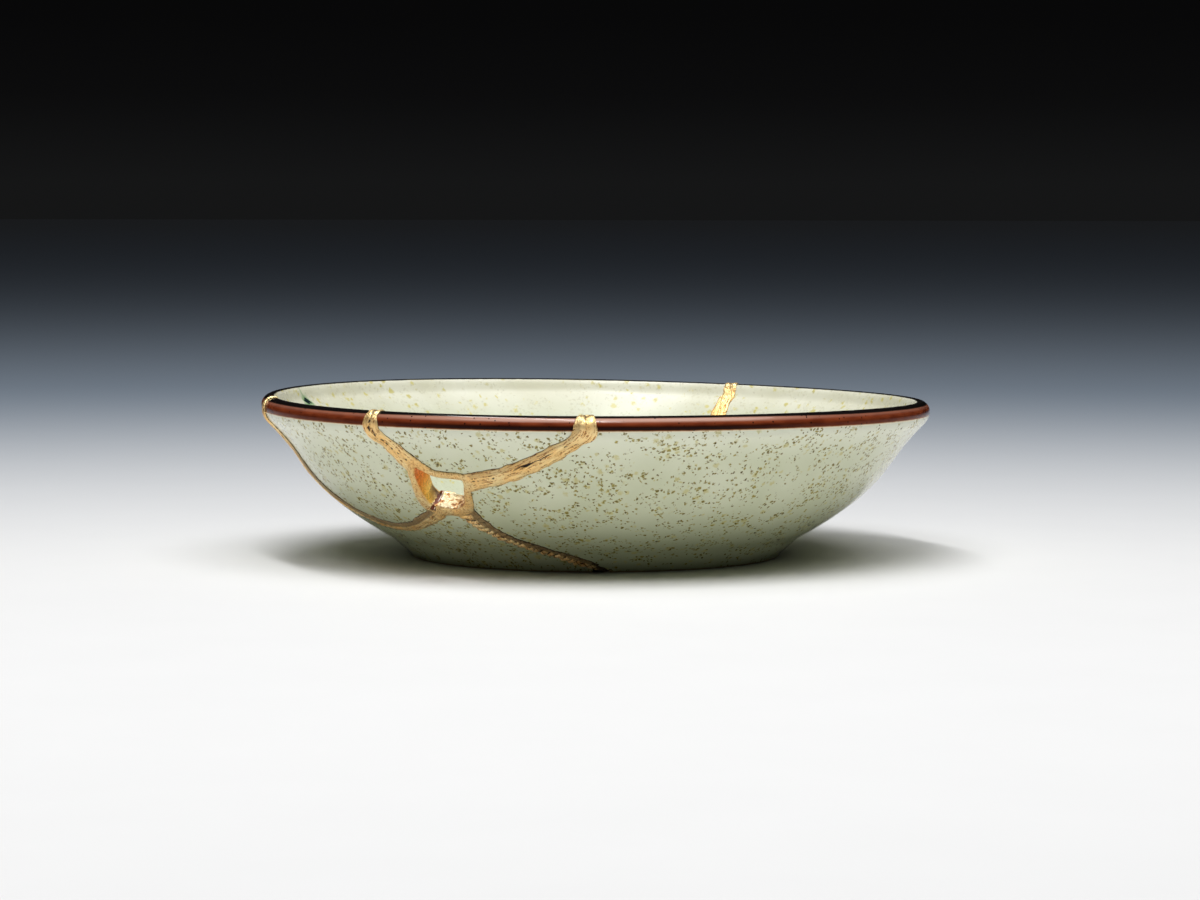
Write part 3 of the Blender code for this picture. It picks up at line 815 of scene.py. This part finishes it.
def proud_of_glaze(profile, coords):
    """How far each point stands out of the plate's own surface, negative inside it."""
    azimuth = np.arctan2(coords[:, 0], -coords[:, 1])
    flat = np.stack([np.hypot(coords[:, 0], coords[:, 1]), coords[:, 2]], 1)
    flat[:, 1] -= warp(flat[:, 1], azimuth)
    starts, ends = profile.points[:-1], profile.points[1:]
    along = ends - starts
    sizes = np.maximum((along**2).sum(1), 1e-14)
    best = np.full(len(flat), 1e9)
    signed = np.zeros(len(flat))
    for start, run, size in zip(starts, along, sizes):
        gap = flat - start
        share = np.clip((gap @ run) / size, 0.0, 1.0)
        off = gap - share[:, None] * run
        distance = np.linalg.norm(off, axis=1)
        side = np.sign(gap[:, 0] * run[1] - gap[:, 1] * run[0])
        nearer = distance < best
        best = np.where(nearer, distance, best)
        signed = np.where(nearer, distance * side, signed)
    return signed


def make_gold_seam(profile, cracks, hole, gold):
    """Beads, webs and the ring round the hole, fused into one body and given a worked surface."""
    opening = hole.block("opening", HOLE_RING_OVERLAP)
    parts = []
    for index, crack in enumerate(cracks):
        parts.append(bead(f"bead_{index}", crack, 3.1 + 5.7 * index))
        parts.append(crack.web(f"web_{index}"))
    for part in parts:
        boolean(part, "DIFFERENCE", opening)
    parts.append(hole.ring("ring"))
    bm = bmesh.new()
    for part in parts:
        bm.from_mesh(evaluated_mesh(part))
    parts.append(opening)
    mesh = bpy.data.meshes.new("gold_seam_rough")
    bm.to_mesh(mesh)
    bm.free()
    remove(parts)
    rough = linked("gold_seam_rough", mesh)
    fuse = rough.modifiers.new("fuse", "REMESH")
    fuse.mode = "VOXEL"
    fuse.voxel_size = VOXEL
    soften = rough.modifiers.new("soften", "SMOOTH")
    soften.factor = 0.5
    soften.iterations = 2
    fused = evaluated_mesh(rough)
    remove([rough])
    fused = thinned(profile, fused)
    worked_surface(profile, cracks, hole, fused)
    fused.materials.clear()
    fused.materials.append(gold)
    fused.shade_smooth()
    return linked("gold_lacquer_seam", fused)


def thinned(profile, mesh):
    """The mesh with few triangles where it lies hidden in the joints, and all of them elsewhere."""
    proud = proud_of_glaze(profile, points_of(mesh))
    holder = linked("gold_seam_thinned", mesh)
    hidden = holder.vertex_groups.new(name="hidden")
    hidden.add(np.flatnonzero(proud < HIDDEN_BELOW).tolist(), 1.0, "REPLACE")
    thin = holder.modifiers.new("thin", "DECIMATE")
    thin.ratio = SEAM_KEPT
    thin.vertex_group = "hidden"
    made = evaluated_mesh(holder)
    remove([holder])
    corners, _ = closed_triangles(made)
    clean = bpy.data.meshes.new("gold_seam_clean")
    clean.from_pydata(points_of(made).tolist(), [], corners.tolist())
    return clean


def worked_surface(profile, cracks, hole, mesh):
    """Grain, pits and cracks in the gold, and what the finish reads of each point."""
    count = len(mesh.vertices)
    coords = points_of(mesh)
    normals = np.empty(count * 3)
    mesh.vertex_normals.foreach_get("vector", normals)
    normals = normals.reshape(-1, 3)
    proud = proud_of_glaze(profile, coords)
    local = hole.local(coords)
    away = hole.distances(local)
    lining = np.clip((1.1 * MM - away) / (0.4 * MM), 0.0, 1.0)
    lining *= np.clip((0.3 * MM - proud) / (0.25 * MM), 0.0, 1.0)
    ring = np.clip((3.0 * MM - away) / (1.0 * MM), 0.0, 1.0)
    nubby = ring * np.clip(-local[:, 0] / (4.0 * MM), 0.0, 1.0)
    tree, stations = bead_tree(cracks)
    pits, dull, along, across, inner = np.zeros((5, count))
    lift = np.zeros(count)
    for index in range(count):
        point = coords[index]
        _, which, _ = tree.find(Vector(point))
        crack, station = stations[which]
        run = crack.run[station]
        offset = float(np.dot(point - crack.places[station], crack.sides[station]))
        share = offset / crack.halves[station]
        along[index] = run / MM + 40.0 * crack.crest_run / MM
        across[index] = offset / MM
        if proud[index] < UNWORKED_BELOW:
            continue
        coarse, fine = [noise.noise(Vector(point / size)) for size in GRAIN_SIZES]
        lift[index] = (GRAIN_HEIGHT + NUBBY_HEIGHT * nubby[index]) * (coarse + 0.5 * fine)
        if lining[index] > 0.5 and local[index, 1] < SILL_BELOW:
            lift[index] += LEAF_FOLD * crumple(point)
        elif ring[index] < 0.5 and abs(share) < 1.0:
            dull[index] = crack.dull(run, share)
            strand = crack.strand(run, share) * (1 - dull[index])
            past = (run - crack.crest_run) / MM
            near_lip = min(1.0, 4 * crack.manner.lip) * math.exp(-((past / 3.2) ** 2))
            fold = crumple(point / 1.8)
            notch = near_lip * math.exp(-(((share + 0.12 + 0.1 * past + 0.3 * fold) / 0.15) ** 2))
            # Painted shade: the rope's grooves, the notch and the creases of the folds on the lip
            # are painted dark, kept with the pits.
            painted_crease_shade = limited(max(-1.4 * strand - 0.35, notch, near_lip * (-7.0 * fold - 1.3)))
            inner[index] = limited(past / 2.0)
            pit = crack.pit(run, share)
            lift[index] -= PIT_DEPTH * pit
            lift[index] += MM * (STRAND_HEIGHT * strand + LIP_FOLD * (near_lip * fold - notch))
            pits[index] = max(pit, 0.8 * painted_crease_shade)
    top = np.maximum(np.clip(proud / (0.2 * MM), 0.0, 1.0), lining)
    moved = coords + normals * (lift * top)[:, None]
    over = proud_of_glaze(profile, moved) - BEAD_MOST
    moved -= normals * np.clip(over, 0.0, None)[:, None]
    mesh.vertices.foreach_set("co", moved.reshape(-1))
    for name, values in (
        ("proud", proud / MM),
        ("pit", pits),
        ("dull", dull),
        ("along", along),
        ("across", across),
        ("inner", inner),
        ("ring", ring),
        ("hole_right", local[:, 0] / MM),
        ("hole_up", local[:, 1] / MM),
        ("lining", lining),
    ):
        layer = mesh.attributes.new(name, "FLOAT", "POINT")
        layer.data.foreach_set("value", values.astype(np.float32))


def crumple(point):
    """Folds of a crumpled leaf, from -1 to 1."""
    first = noise.noise(Vector(point / (1.6 * MM)))
    second = noise.noise(Vector(point / (0.8 * MM)) + Vector((5.0, 1.0, 2.0)))
    return 1.2 * abs(first) + 0.6 * abs(second) - 0.35


def bead_tree(cracks):
    """A search tree of the beads' courses, with each point's crack and its number there."""
    stations = [(crack, station) for crack in cracks for station in range(len(crack.run))]
    tree = kdtree.KDTree(len(stations))
    for index, (crack, station) in enumerate(stations):
        tree.insert(Vector(crack.places[station]), index)
    tree.balance()
    return tree, stations


def main():
    make_camera()
    make_studio()
    profile = Profile()
    courses = (
        CRACK_TO_FRONT_LEFT_RIM, CRACK_TO_FRONT_RIM, CRACK_TO_LEFT_RIM, CRACK_UNDER_AND_UP_THE_BACK,
    )
    cracks = [Crack(profile, *traits) for traits in zip(courses, MANNERS, MARKS)]
    hole = Hole(profile)
    glaze = glaze_material(profile)
    shards = make_shards(profile, cracks, hole, [glaze, band_material(glaze)])
    for node, shard in shards.items():
        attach(shard, "root")
        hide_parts(node)
    seam = make_gold_seam(profile, cracks, hole, gold_material())
    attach(seam, "root")
    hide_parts("gold_seam")


def make_camera():
    data = bpy.data.cameras.new("camera")
    data.lens = CAMERA_LENS
    data.sensor_width = SENSOR_WIDTH
    data.sensor_fit = "HORIZONTAL"
    data.clip_start = 0.01
    data.clip_end = 50.0
    camera = linked("camera", data)
    camera.location = CAMERA_AT
    camera.rotation_mode = "XYZ"
    camera.rotation_euler = (math.pi / 2 - CAMERA_DOWN, CAMERA_ROLL, 0.0)
    bpy.context.scene.camera = camera


class Nodes:
    """A material's node tree, built by short calls."""

    def __init__(self, name):
        self.material = bpy.data.materials.new(name)
        self.material.use_nodes = True
        self.tree = self.material.node_tree
        self.tree.nodes.clear()
        self.shader = self.add("BsdfPrincipled")
        self.add("OutputMaterial", {"Surface": self.shader.outputs[0]})

    def add(self, kind, inputs=(), **settings):
        """A node with these settings, its inputs fed."""
        node = self.tree.nodes.new("ShaderNode" + kind)
        for key, value in settings.items():
            setattr(node, key, value)
        self.feed(node, inputs)
        return node

    def feed(self, node, inputs):
        """Gives a node's inputs numbers, tuples or other nodes' outputs."""
        for key, value in dict(inputs).items():
            if isinstance(value, bpy.types.NodeSocket):
                self.tree.links.new(value, node.inputs[key])
            else:
                node.inputs[key].default_value = value

    def math(self, operation, first, second=0.0, clamp=False):
        inputs = {0: first, 1: second}
        return self.add("Math", inputs, operation=operation, use_clamp=clamp).outputs[0]

    def times(self, first, second):
        return self.math("MULTIPLY", first, second)

    def plus(self, first, second):
        return self.math("ADD", first, second)

    def minus(self, first, second):
        return self.math("SUBTRACT", first, second)

    def rest(self, share):
        """What a share leaves of one."""
        return self.math("SUBTRACT", 1.0, share)

    def greater(self, first, second):
        return self.math("MAXIMUM", first, second)

    def place(self):
        return self.add("TexCoord").outputs["Object"]

    def split(self, vector):
        return self.add("SeparateXYZ", {0: vector}).outputs

    def combine(self, *parts):
        return self.add("CombineXYZ", enumerate(parts)).outputs[0]

    def vector(self, operation, first, second=(0.0, 0.0, 0.0)):
        node = self.add("VectorMath", {0: first, 1: second}, operation=operation)
        return node.outputs["Value" if operation == "LENGTH" else "Vector"]

    def noise(self, vector, size, detail=2.0, roughness=0.5):
        """Noise from 0 to 1 whose lumps measure about this size."""
        inputs = {"Vector": vector, "Scale": 1 / size, "Detail": detail, "Roughness": roughness}
        return self.add("TexNoise", inputs).outputs["Fac"]

    def bent(self, vector, at, size, amount):
        """A vector pushed about by noise of this size."""
        node = self.add("TexNoise", {"Vector": at, "Scale": 1 / size, "Detail": 2.0})
        push = self.vector("SUBTRACT", node.outputs["Color"], (0.5, 0.5, 0.5))
        scaled = self.add("VectorMath", {0: push, "Scale": amount}, operation="SCALE")
        return self.vector("ADD", vector, scaled.outputs["Vector"])

    def cells(self, vector, size):
        """Each point's distance to its cell's centre (in cell sizes) and three random numbers."""
        node = self.add("TexVoronoi", {"Vector": vector, "Scale": 1 / size}, feature="F1")
        chances = self.add("SeparateColor", {0: node.outputs["Color"]}).outputs
        return (node.outputs["Distance"], *chances)

    def ramp(self, value, low, high, start=0.0, end=1.0, smooth=True):
        names = ("Value", "From Min", "From Max", "To Min", "To Max")
        inputs = zip(names, (value, low, high, start, end))
        kind = "SMOOTHSTEP" if smooth else "LINEAR"
        return self.add("MapRange", inputs, interpolation_type=kind).outputs[0]

    def ellipsoid(self, vector, centre, rotation, radii):
        """The distance from a centre, one on the surface of an ellipsoid turned by these angles."""
        inputs = {"Vector": vector, "Location": centre, "Rotation": rotation, "Scale": radii}
        return self.vector("LENGTH", self.add("Mapping", inputs, vector_type="TEXTURE").outputs[0])

    def mix(self, share, first, second):
        """A colour between two, by a share."""
        return self.add("Mix", {0: share, 6: first, 7: second}, data_type="RGBA").outputs[2]

    def attribute(self, name):
        return self.add("Attribute", attribute_name=name).outputs["Fac"]

    def bump(self, height, distance, strength=1.0, normal=None):
        inputs = {"Strength": strength, "Distance": distance, "Height": height}
        if normal is not None:
            inputs["Normal"] = normal
        return self.add("Bump", inputs).outputs[0]


def colour(red, green, blue):
    """A linear colour from the numbers 0 to 255 that a screen shows."""
    def linear(value):
        share = value / 255
        return share / 12.92 if share <= 0.04045 else ((share + 0.055) / 1.055) ** 2.4

    return (linear(red), linear(green), linear(blue), 1.0)


def glaze_material(profile):
    """Speckled grey-green glaze, creamier inside, with a brown lip and a bare foot."""
    made = Nodes("celadon glaze")
    place_ = made.place()
    x, y, z = made.split(place_)
    radius = made.vector("LENGTH", made.combine(x, y, 0.0))
    sine = made.math("DIVIDE", x, radius)
    cosine = made.math("DIVIDE", made.times(y, -1.0), radius)
    twist = made.times(made.times(sine, cosine), 2 * RIM_TWIST)
    lift = made.minus(twist, made.times(sine, RIM_TILT))
    rise = made.minus(z, FLOOR_HEIGHT)
    share = made.math("DIVIDE", rise, HEIGHT - FLOOR_HEIGHT, clamp=True)
    height = made.minus(z, made.times(lift, share))

    right, back, up = made.split(made.add("NewGeometry").outputs["True Normal"])
    outward = made.minus(made.times(right, sine), made.times(back, cosine))
    facing_in = made.minus(up, outward)
    inside = made.ramp(facing_in, 0.2, 0.8)
    outside = made.rest(inside)

    tone = made.ramp(made.noise(place_, 16 * MM, 3.0), 0.3, 0.7)
    outer = made.mix(tone, colour(216, 220, 188), colour(228, 231, 203))
    # Painted light: the outer wall is painted paler towards the lip.
    outer = made.mix(made.ramp(height, 26 * MM, 36 * MM), outer, colour(237, 239, 217))
    # Painted shade: the outer wall is painted darker and greener towards the foot, where it faces
    # down.
    outer = made.mix(made.ramp(height, 24 * MM, 2 * MM), outer, colour(192, 199, 162))
    inner = made.mix(tone, colour(216, 214, 192), colour(228, 227, 210))
    inner = made.mix(made.ramp(height, 37 * MM, 24 * MM), inner, colour(197, 202, 177))
    base = made.mix(inside, outer, inner)
    base = specks(made, place_, base, inside)
    base = sprig(made, profile, place_, base)

    uneven = made.noise(place_, 2.2 * MM, 3.0)
    ragged = made.ramp(uneven, 0.0, 1.0, -0.25 * MM, 0.25 * MM, smooth=False)
    cream = made.ramp(height, LIP_BAND_EDGE - 0.25 * MM, LIP_BAND_EDGE, 0.0, 0.6)
    cream = made.times(cream, outside)
    base = made.mix(cream, base, colour(250, 232, 196))
    ragged_lip = made.plus(height, made.times(ragged, 0.3))
    lip, brown = brown_lip(made, place_, height, ragged_lip, radius, sine, cosine)
    base = made.mix(lip, base, brown)

    clay_edge = made.ramp(made.plus(z, ragged), 0.45 * MM, 0.25 * MM)
    clay = made.mix(made.noise(place_, 1.2 * MM, 4.0), colour(150, 122, 92), colour(188, 164, 132))
    base = made.mix(clay_edge, base, clay)
    base = made.mix(chip_share(made, place_), base, colour(16, 12, 10))

    gloss = made.ramp(made.noise(place_, 6 * MM, 2.0), 0.3, 0.7, 0.10, 0.17)
    rough = made.plus(gloss, made.times(clay_edge, 0.6))
    rough = made.plus(rough, made.times(inside, 0.14))
    waves = made.noise(place_, 5 * MM, 1.0)
    fine = made.noise(place_, 0.9 * MM, 2.0)
    bump = made.bump(waves, 0.08 * MM, 0.5)
    bump = made.bump(fine, 0.012 * MM, 0.5, bump)
    looks = {"Base Color": base, "Roughness": rough, "IOR": 1.37, "Normal": bump}
    made.feed(made.shader, looks)
    return made.material


def band_material(glaze):
    """The same glaze on the lower part of the brown lip, where it has little gloss."""
    made = glaze.copy()
    made.name = "brown band"
    shader = next(node for node in made.node_tree.nodes if node.type == "BSDF_PRINCIPLED")
    shader.inputs["Specular IOR Level"].default_value = 0.12
    return made


def specks(made, vector, base, inside):
    """Iron specks in the glaze, crowded in places: pale smudges, ochre spots and dark grains."""
    crowd = made.ramp(made.noise(vector, 5.5 * MM, 2.0), 0.36, 0.62, 0.10, 1.7)
    clumped = made.ramp(made.noise(vector, 1.9 * MM, 1.0), 0.40, 0.62, 0.25, 1.6)
    clump = made.times(crowd, clumped)
    bent = made.bent(vector, vector, 0.75 * MM, 1.2 * MM)
    softer = made.ramp(inside, 0.0, 1.0, 1.0, 0.15)
    base = spots(made, bent, base, 2.2 * MM, (0.20, 0.42), crowd, 0.55,
                 colour(206, 196, 118), colour(190, 176, 84), made.ramp(inside, 0.0, 1.0, 0.6, 0.8))
    base = spots(made, bent, base, 1.15 * MM, (0.24, 0.46), clump, 0.60,
                 colour(162, 148, 62), colour(82, 68, 20), made.times(softer, 0.95))
    shifted = made.vector("ADD", bent, (0.61 * MM, 0.37 * MM, 0.53 * MM))
    return spots(made, shifted, base, 0.90 * MM, (0.22, 0.42), clump, 0.60,
                 colour(132, 118, 46), colour(50, 42, 18), made.times(softer, 1.0))


def spots(made, vector, base, size, radii, crowd, amount, rim, core, strength):
    """Round spots of uneven size and depth: one cell in several holds one."""
    distance, chance, small, depth = made.cells(vector, size)
    limit = made.ramp(small, 0.0, 1.0, *radii, smooth=False)
    present = made.ramp(made.math("DIVIDE", chance, crowd), amount, amount - 0.06)
    reach = made.math("DIVIDE", distance, limit)
    deep = made.times(made.ramp(reach, 0.8, 0.2), made.ramp(depth, 0.2, 0.7))
    shade = made.mix(deep, rim, core)
    share = made.times(made.ramp(reach, 1.2, 0.55), present)
    return made.mix(made.times(share, strength), base, shade)


def sprig(made, profile, vector, base):
    """A small brushed sprig on the inner wall: dark green strokes that have run a little."""
    heights = profile.points[profile.inside, 1][::-1]
    lengths = profile.length[profile.inside][::-1]
    bent = made.bent(vector, vector, 1.5 * MM, 0.7 * MM)
    nearest = None
    for azimuth_degrees, height, slant_degrees, half_length, half_width in SPRIG:
        azimuth, slant = math.radians(azimuth_degrees), math.radians(slant_degrees)
        spot, normal = surface(profile, azimuth, np.interp(height * MM, heights, lengths))
        level = Vector((math.cos(azimuth), math.sin(azimuth), 0.0))
        normal = Vector(normal)
        rise = normal.cross(level)
        stroke = level * math.cos(slant) + rise * math.sin(slant)
        turned = Matrix((stroke, normal.cross(stroke), normal)).transposed().to_euler()
        radii = (half_length * MM, half_width * MM, 1.5 * MM)
        away = made.ellipsoid(bent, tuple(spot), tuple(turned), radii)
        nearest = away if nearest is None else made.math("MINIMUM", nearest, away)
    base = made.mix(made.ramp(nearest, 2.4, 1.0, 0.0, 0.8), base, colour(112, 158, 104))
    return made.mix(made.ramp(nearest, 1.05, 0.8), base, colour(14, 34, 38))


def brown_lip(made, vector, height, lip_height, radius, sine, cosine):
    """Where the lip is brown, and its colour: nearly black on the crest, amber at the edge."""
    inner_lip = made.ramp(lip_height, HEIGHT - 0.38 * MM, HEIGHT - 0.18 * MM)
    outer_lip = made.ramp(lip_height, LIP_BAND_EDGE, LIP_BAND_EDGE + 0.25 * MM)
    outside_crest = made.ramp(radius, CREST_RADIUS - 0.3 * MM, CREST_RADIUS)
    lip = made.greater(inner_lip, made.times(outer_lip, outside_crest))
    streaks = made.noise(made.vector("MULTIPLY", vector, (1.0, 1.0, 3.0)), 5 * MM, 3.0, 0.5)
    brown = made.mix(made.ramp(streaks, 0.25, 0.75), colour(104, 42, 21), colour(136, 64, 35))
    # Painted highlight: a pale streak just under the crest, strongest at the front.
    painted_rim_highlight = made.ramp(height, HEIGHT - 1.6 * MM, HEIGHT - 0.9 * MM)
    middle = made.ramp(cosine, 0.72, 0.95, 0.35, 1.0)
    brown = made.mix(made.times(painted_rim_highlight, middle), brown, colour(178, 130, 110))
    # Painted shade: the band's lower part is painted nearly black, strongest at the front.
    low = made.times(made.ramp(height, HEIGHT - 1.5 * MM, HEIGHT - 2.5 * MM), middle)
    brown = made.mix(low, brown, colour(34, 9, 4))
    # Partly dark glaze, partly a painted reflection of the dark room: the crest is painted nearly
    # black, wider at the sides.
    lowered = made.ramp(made.math("ABSOLUTE", sine), 0.35, 0.8, 0.0, 0.3 * MM)
    crest = made.plus(height, lowered)
    black = made.ramp(crest, HEIGHT - 0.6 * MM, HEIGHT - 0.3 * MM)
    brown = made.mix(black, brown, colour(11, 6, 5))
    amber = made.ramp(lip_height, HEIGHT - 2.95 * MM, HEIGHT - 3.2 * MM, 0.0, 0.85)
    brown = made.mix(amber, brown, colour(164, 96, 46))
    dots, chance, _, _ = made.cells(vector, 1.1 * MM)
    dark_dot = made.times(made.ramp(dots, 0.24, 0.12), made.ramp(chance, 0.66, 0.7))
    return lip, made.mix(dark_dot, brown, colour(26, 9, 7))


def chip_share(made, vector):
    """One inside the chip in the foot, which is painted nearly black."""
    azimuth = math.radians(CHIP_AZIMUTH)
    out = FOOT_RADIUS - 0.2 * MM
    centre = (out * math.sin(azimuth), -out * math.cos(azimuth), 0.3 * MM)
    away = made.vector("LENGTH", made.vector("SUBTRACT", vector, centre))
    return made.ramp(away, 1.9 * MM, 1.5 * MM)


def gold_material():
    """Gold powder and leaf over dark lacquer, which shows in the pits and along the edges; painted
    light and shade.
    """
    made = Nodes("gold on lacquer")
    place_ = made.place()
    names = ("proud", "pit", "dull", "ring", "lining", "hole_right", "hole_up")
    proud, pit, dull, ring, lining, right, up = [made.attribute(name) for name in names]
    along = made.times(made.attribute("along"), 0.30)
    across = made.times(made.attribute("across"), 2.6)
    streaks = made.ramp(made.noise(made.combine(along, across, 0.0), 1.0, 2.0, 0.6), 0.36, 0.64)
    grain = made.ramp(made.noise(place_, 0.45 * MM, 3.0, 0.65), 0.3, 0.7)
    streaked = made.times(made.rest(ring), 0.6)
    relief = made.plus(
        made.times(streaks, streaked),
        made.times(made.ramp(grain, 0.0, 1.0, 0.22, 1.0), made.rest(streaked)),
    )
    tone = made.noise(place_, 4.0 * MM, 2.0)
    gold = made.mix(made.ramp(tone, 0.3, 0.7), colour(254, 208, 134), colour(255, 228, 168))
    # Painted shade: the gold is painted darker, then brown, where its relief is low, as in the
    # hollows of its bump.
    gold = made.mix(made.ramp(relief, 0.46, 0.26), gold, colour(212, 156, 92))
    gold = made.mix(made.ramp(relief, 0.24, 0.12), gold, colour(120, 78, 44))
    # Painted shade: the matt film is painted olive brown, as in the shade beside the raised bead.
    gold = made.mix(dull, gold, colour(130, 106, 72))
    # Painted highlight: the gold is painted paler near the lip's crest.
    painted_lip_highlight = made.ramp(made.split(place_)[2], HEIGHT - 1.8 * MM, HEIGHT - 0.9 * MM)
    gold = made.mix(made.times(painted_lip_highlight, 0.6), gold, colour(255, 224, 160))

    # Painted reflection: the lining's left side is painted orange, brightening to yellow downwards.
    jamb = made.times(lining, made.ramp(right, -3.0, -3.6))
    amber = made.mix(made.ramp(up, 3.5, -4.0), colour(236, 132, 52), colour(255, 212, 100))
    gold = made.mix(jamb, gold, amber)
    sill = made.times(lining, made.ramp(up, -2.4, -3.2))
    sill = made.times(sill, made.ramp(right, -5.6, -5.0))
    # Painted light and shade on the sill's crumpled leaf: near-white highlights and brown shade by
    # noise, and more shade towards the lower right.
    folds = made.noise(place_, 1.3 * MM, 3.0, 0.6)
    shade = made.ramp(made.minus(right, up), 4.0, 9.0, 0.0, 0.12)
    shadowed = made.minus(folds, shade)
    leaf = made.mix(made.ramp(shadowed, 0.50, 0.42), colour(248, 236, 196), colour(206, 150, 88))
    leaf = made.mix(made.ramp(shadowed, 0.40, 0.34), leaf, colour(104, 54, 24))
    gold = made.mix(sill, gold, leaf)
    flat = made.combine(right, up, 0.0)
    wavy = made.bent(flat, place_, 1.2 * MM, 1.2)
    tear = made.ellipsoid(wavy, (-5.1, -5.8, 0.0), (0.0, 0.0, 0.6), (1.05, 0.6, 1.0))
    gap = made.ramp(tear, 1.1, 0.8)
    gold = made.mix(gap, gold, colour(124, 56, 20))
    splinter = made.ellipsoid(flat, (-4.7, -5.75, 0.0), (0.0, 0.0, 0.9), (0.5, 0.14, 1.0))
    sliver = made.ramp(splinter, 1.1, 0.7)
    gold = made.mix(sliver, gold, colour(255, 240, 214))

    # The edges are dark lacquer with painted shade where the bead meets the glaze.
    edge = made.ramp(made.plus(proud, made.ramp(grain, 0.0, 1.0, -0.04, 0.04)), 0.16, 0.05)
    edge = made.times(edge, made.rest(lining))
    edge = made.times(edge, made.ramp(made.attribute("inner"), 0.0, 1.0, 0.85, 0.3))
    # Dark lacquer and painted shade: the edges, the pits and the painted creases.
    dark = made.greater(edge, made.ramp(pit, 0.15, 0.8))
    base = made.mix(dark, gold, colour(36, 20, 12))
    bare = made.greater(made.greater(dark, gap), made.times(dull, 0.7))
    bare = made.greater(bare, made.times(lining, 0.45))
    rough = made.ramp(made.noise(place_, 0.8 * MM, 3.0), 0.3, 0.7, 0.30, 0.46)
    rough = made.minus(rough, made.times(made.greater(jamb, painted_lip_highlight), 0.12))
    shown = made.times(relief, made.rest(made.times(jamb, 0.8)))
    made.feed(made.shader, {
        "Base Color": base,
        "Metallic": made.ramp(bare, 0.0, 1.0, 0.65, 0.0),
        "Roughness": rough,
        "Specular IOR Level": 0.25,
        "Normal": made.bump(shown, 0.10 * MM),
    })
    return made.material


def make_studio():
    """A pale floor, its painted light darkening into the distance, two soft lights overhead, a dark
    room.
    """
    bpy.context.scene.view_settings.view_transform = "Standard"
    floor = mesh_object(
        "floor",
        [(x * FLOOR_REACH, y * FLOOR_REACH, 0.0) for x, y in ((-1, -1), (1, -1), (1, 1), (-1, 1))],
        [(0, 1, 2, 3)],
    )
    made = Nodes("pale floor")
    place_ = made.place()
    near = made.mix(made.noise(place_, 30 * MM, 3.0), colour(225, 225, 225), colour(228, 228, 228))
    # Painted light: the floor is painted darker and bluer away from its brightest spot under the
    # lights.
    away = made.vector("LENGTH", made.vector("SUBTRACT", place_, PAINTED_LIGHT_POOL_CENTRE))
    shade = made.mix(made.ramp(away, 0.25, 1.10), near, colour(148, 161, 176))
    shade = made.mix(made.ramp(away, 2.5, FLOOR_REACH), shade, colour(140, 145, 150))
    made.feed(made.shader, {"Base Color": shade, "Roughness": 0.6, "IOR": 1.2})
    floor.data.materials.append(made.material)
    for light in LIGHTS:
        soft_light(*light)
    make_room()


def make_room():
    """A nearly black room, a little lighter at the horizon and overhead."""
    world = bpy.data.worlds.new("dark room")
    bpy.context.scene.world = world
    world.use_nodes = True
    tree = world.node_tree
    split = tree.nodes.new("ShaderNodeSeparateXYZ")
    coordinates = tree.nodes.new("ShaderNodeTexCoord")
    ramp = tree.nodes.new("ShaderNodeValToRGB")
    tree.links.new(coordinates.outputs["Generated"], split.inputs[0])
    tree.links.new(split.outputs["Z"], ramp.inputs[0])
    stops = ramp.color_ramp.elements
    stops[0].position = 0.0
    stops[0].color = (0.0078, 0.0080, 0.0082, 1.0)
    stops[1].position = 1.0
    stops[1].color = (0.050, 0.051, 0.053, 1.0)
    for position, level in ROOM_LEVELS:
        stop = stops.new(position)
        stop.color = (level, level, level * 1.05, 1.0)
    background = tree.nodes["Background"]
    tree.links.new(ramp.outputs[0], background.inputs["Color"])


def soft_light(name, place_, target, turn_degrees, width, depth, power):
    data = bpy.data.lights.new(name, "AREA")
    data.shape = "RECTANGLE"
    data.size = width
    data.size_y = depth
    data.energy = power
    light = linked(name, data)
    light.location = place_
    direction = Vector(target) - Vector(place_)
    light.rotation_mode = "QUATERNION"
    turn = Quaternion((0.0, 0.0, 1.0), math.radians(turn_degrees))
    light.rotation_quaternion = turn @ direction.to_track_quat("-Z", "Y")


main()
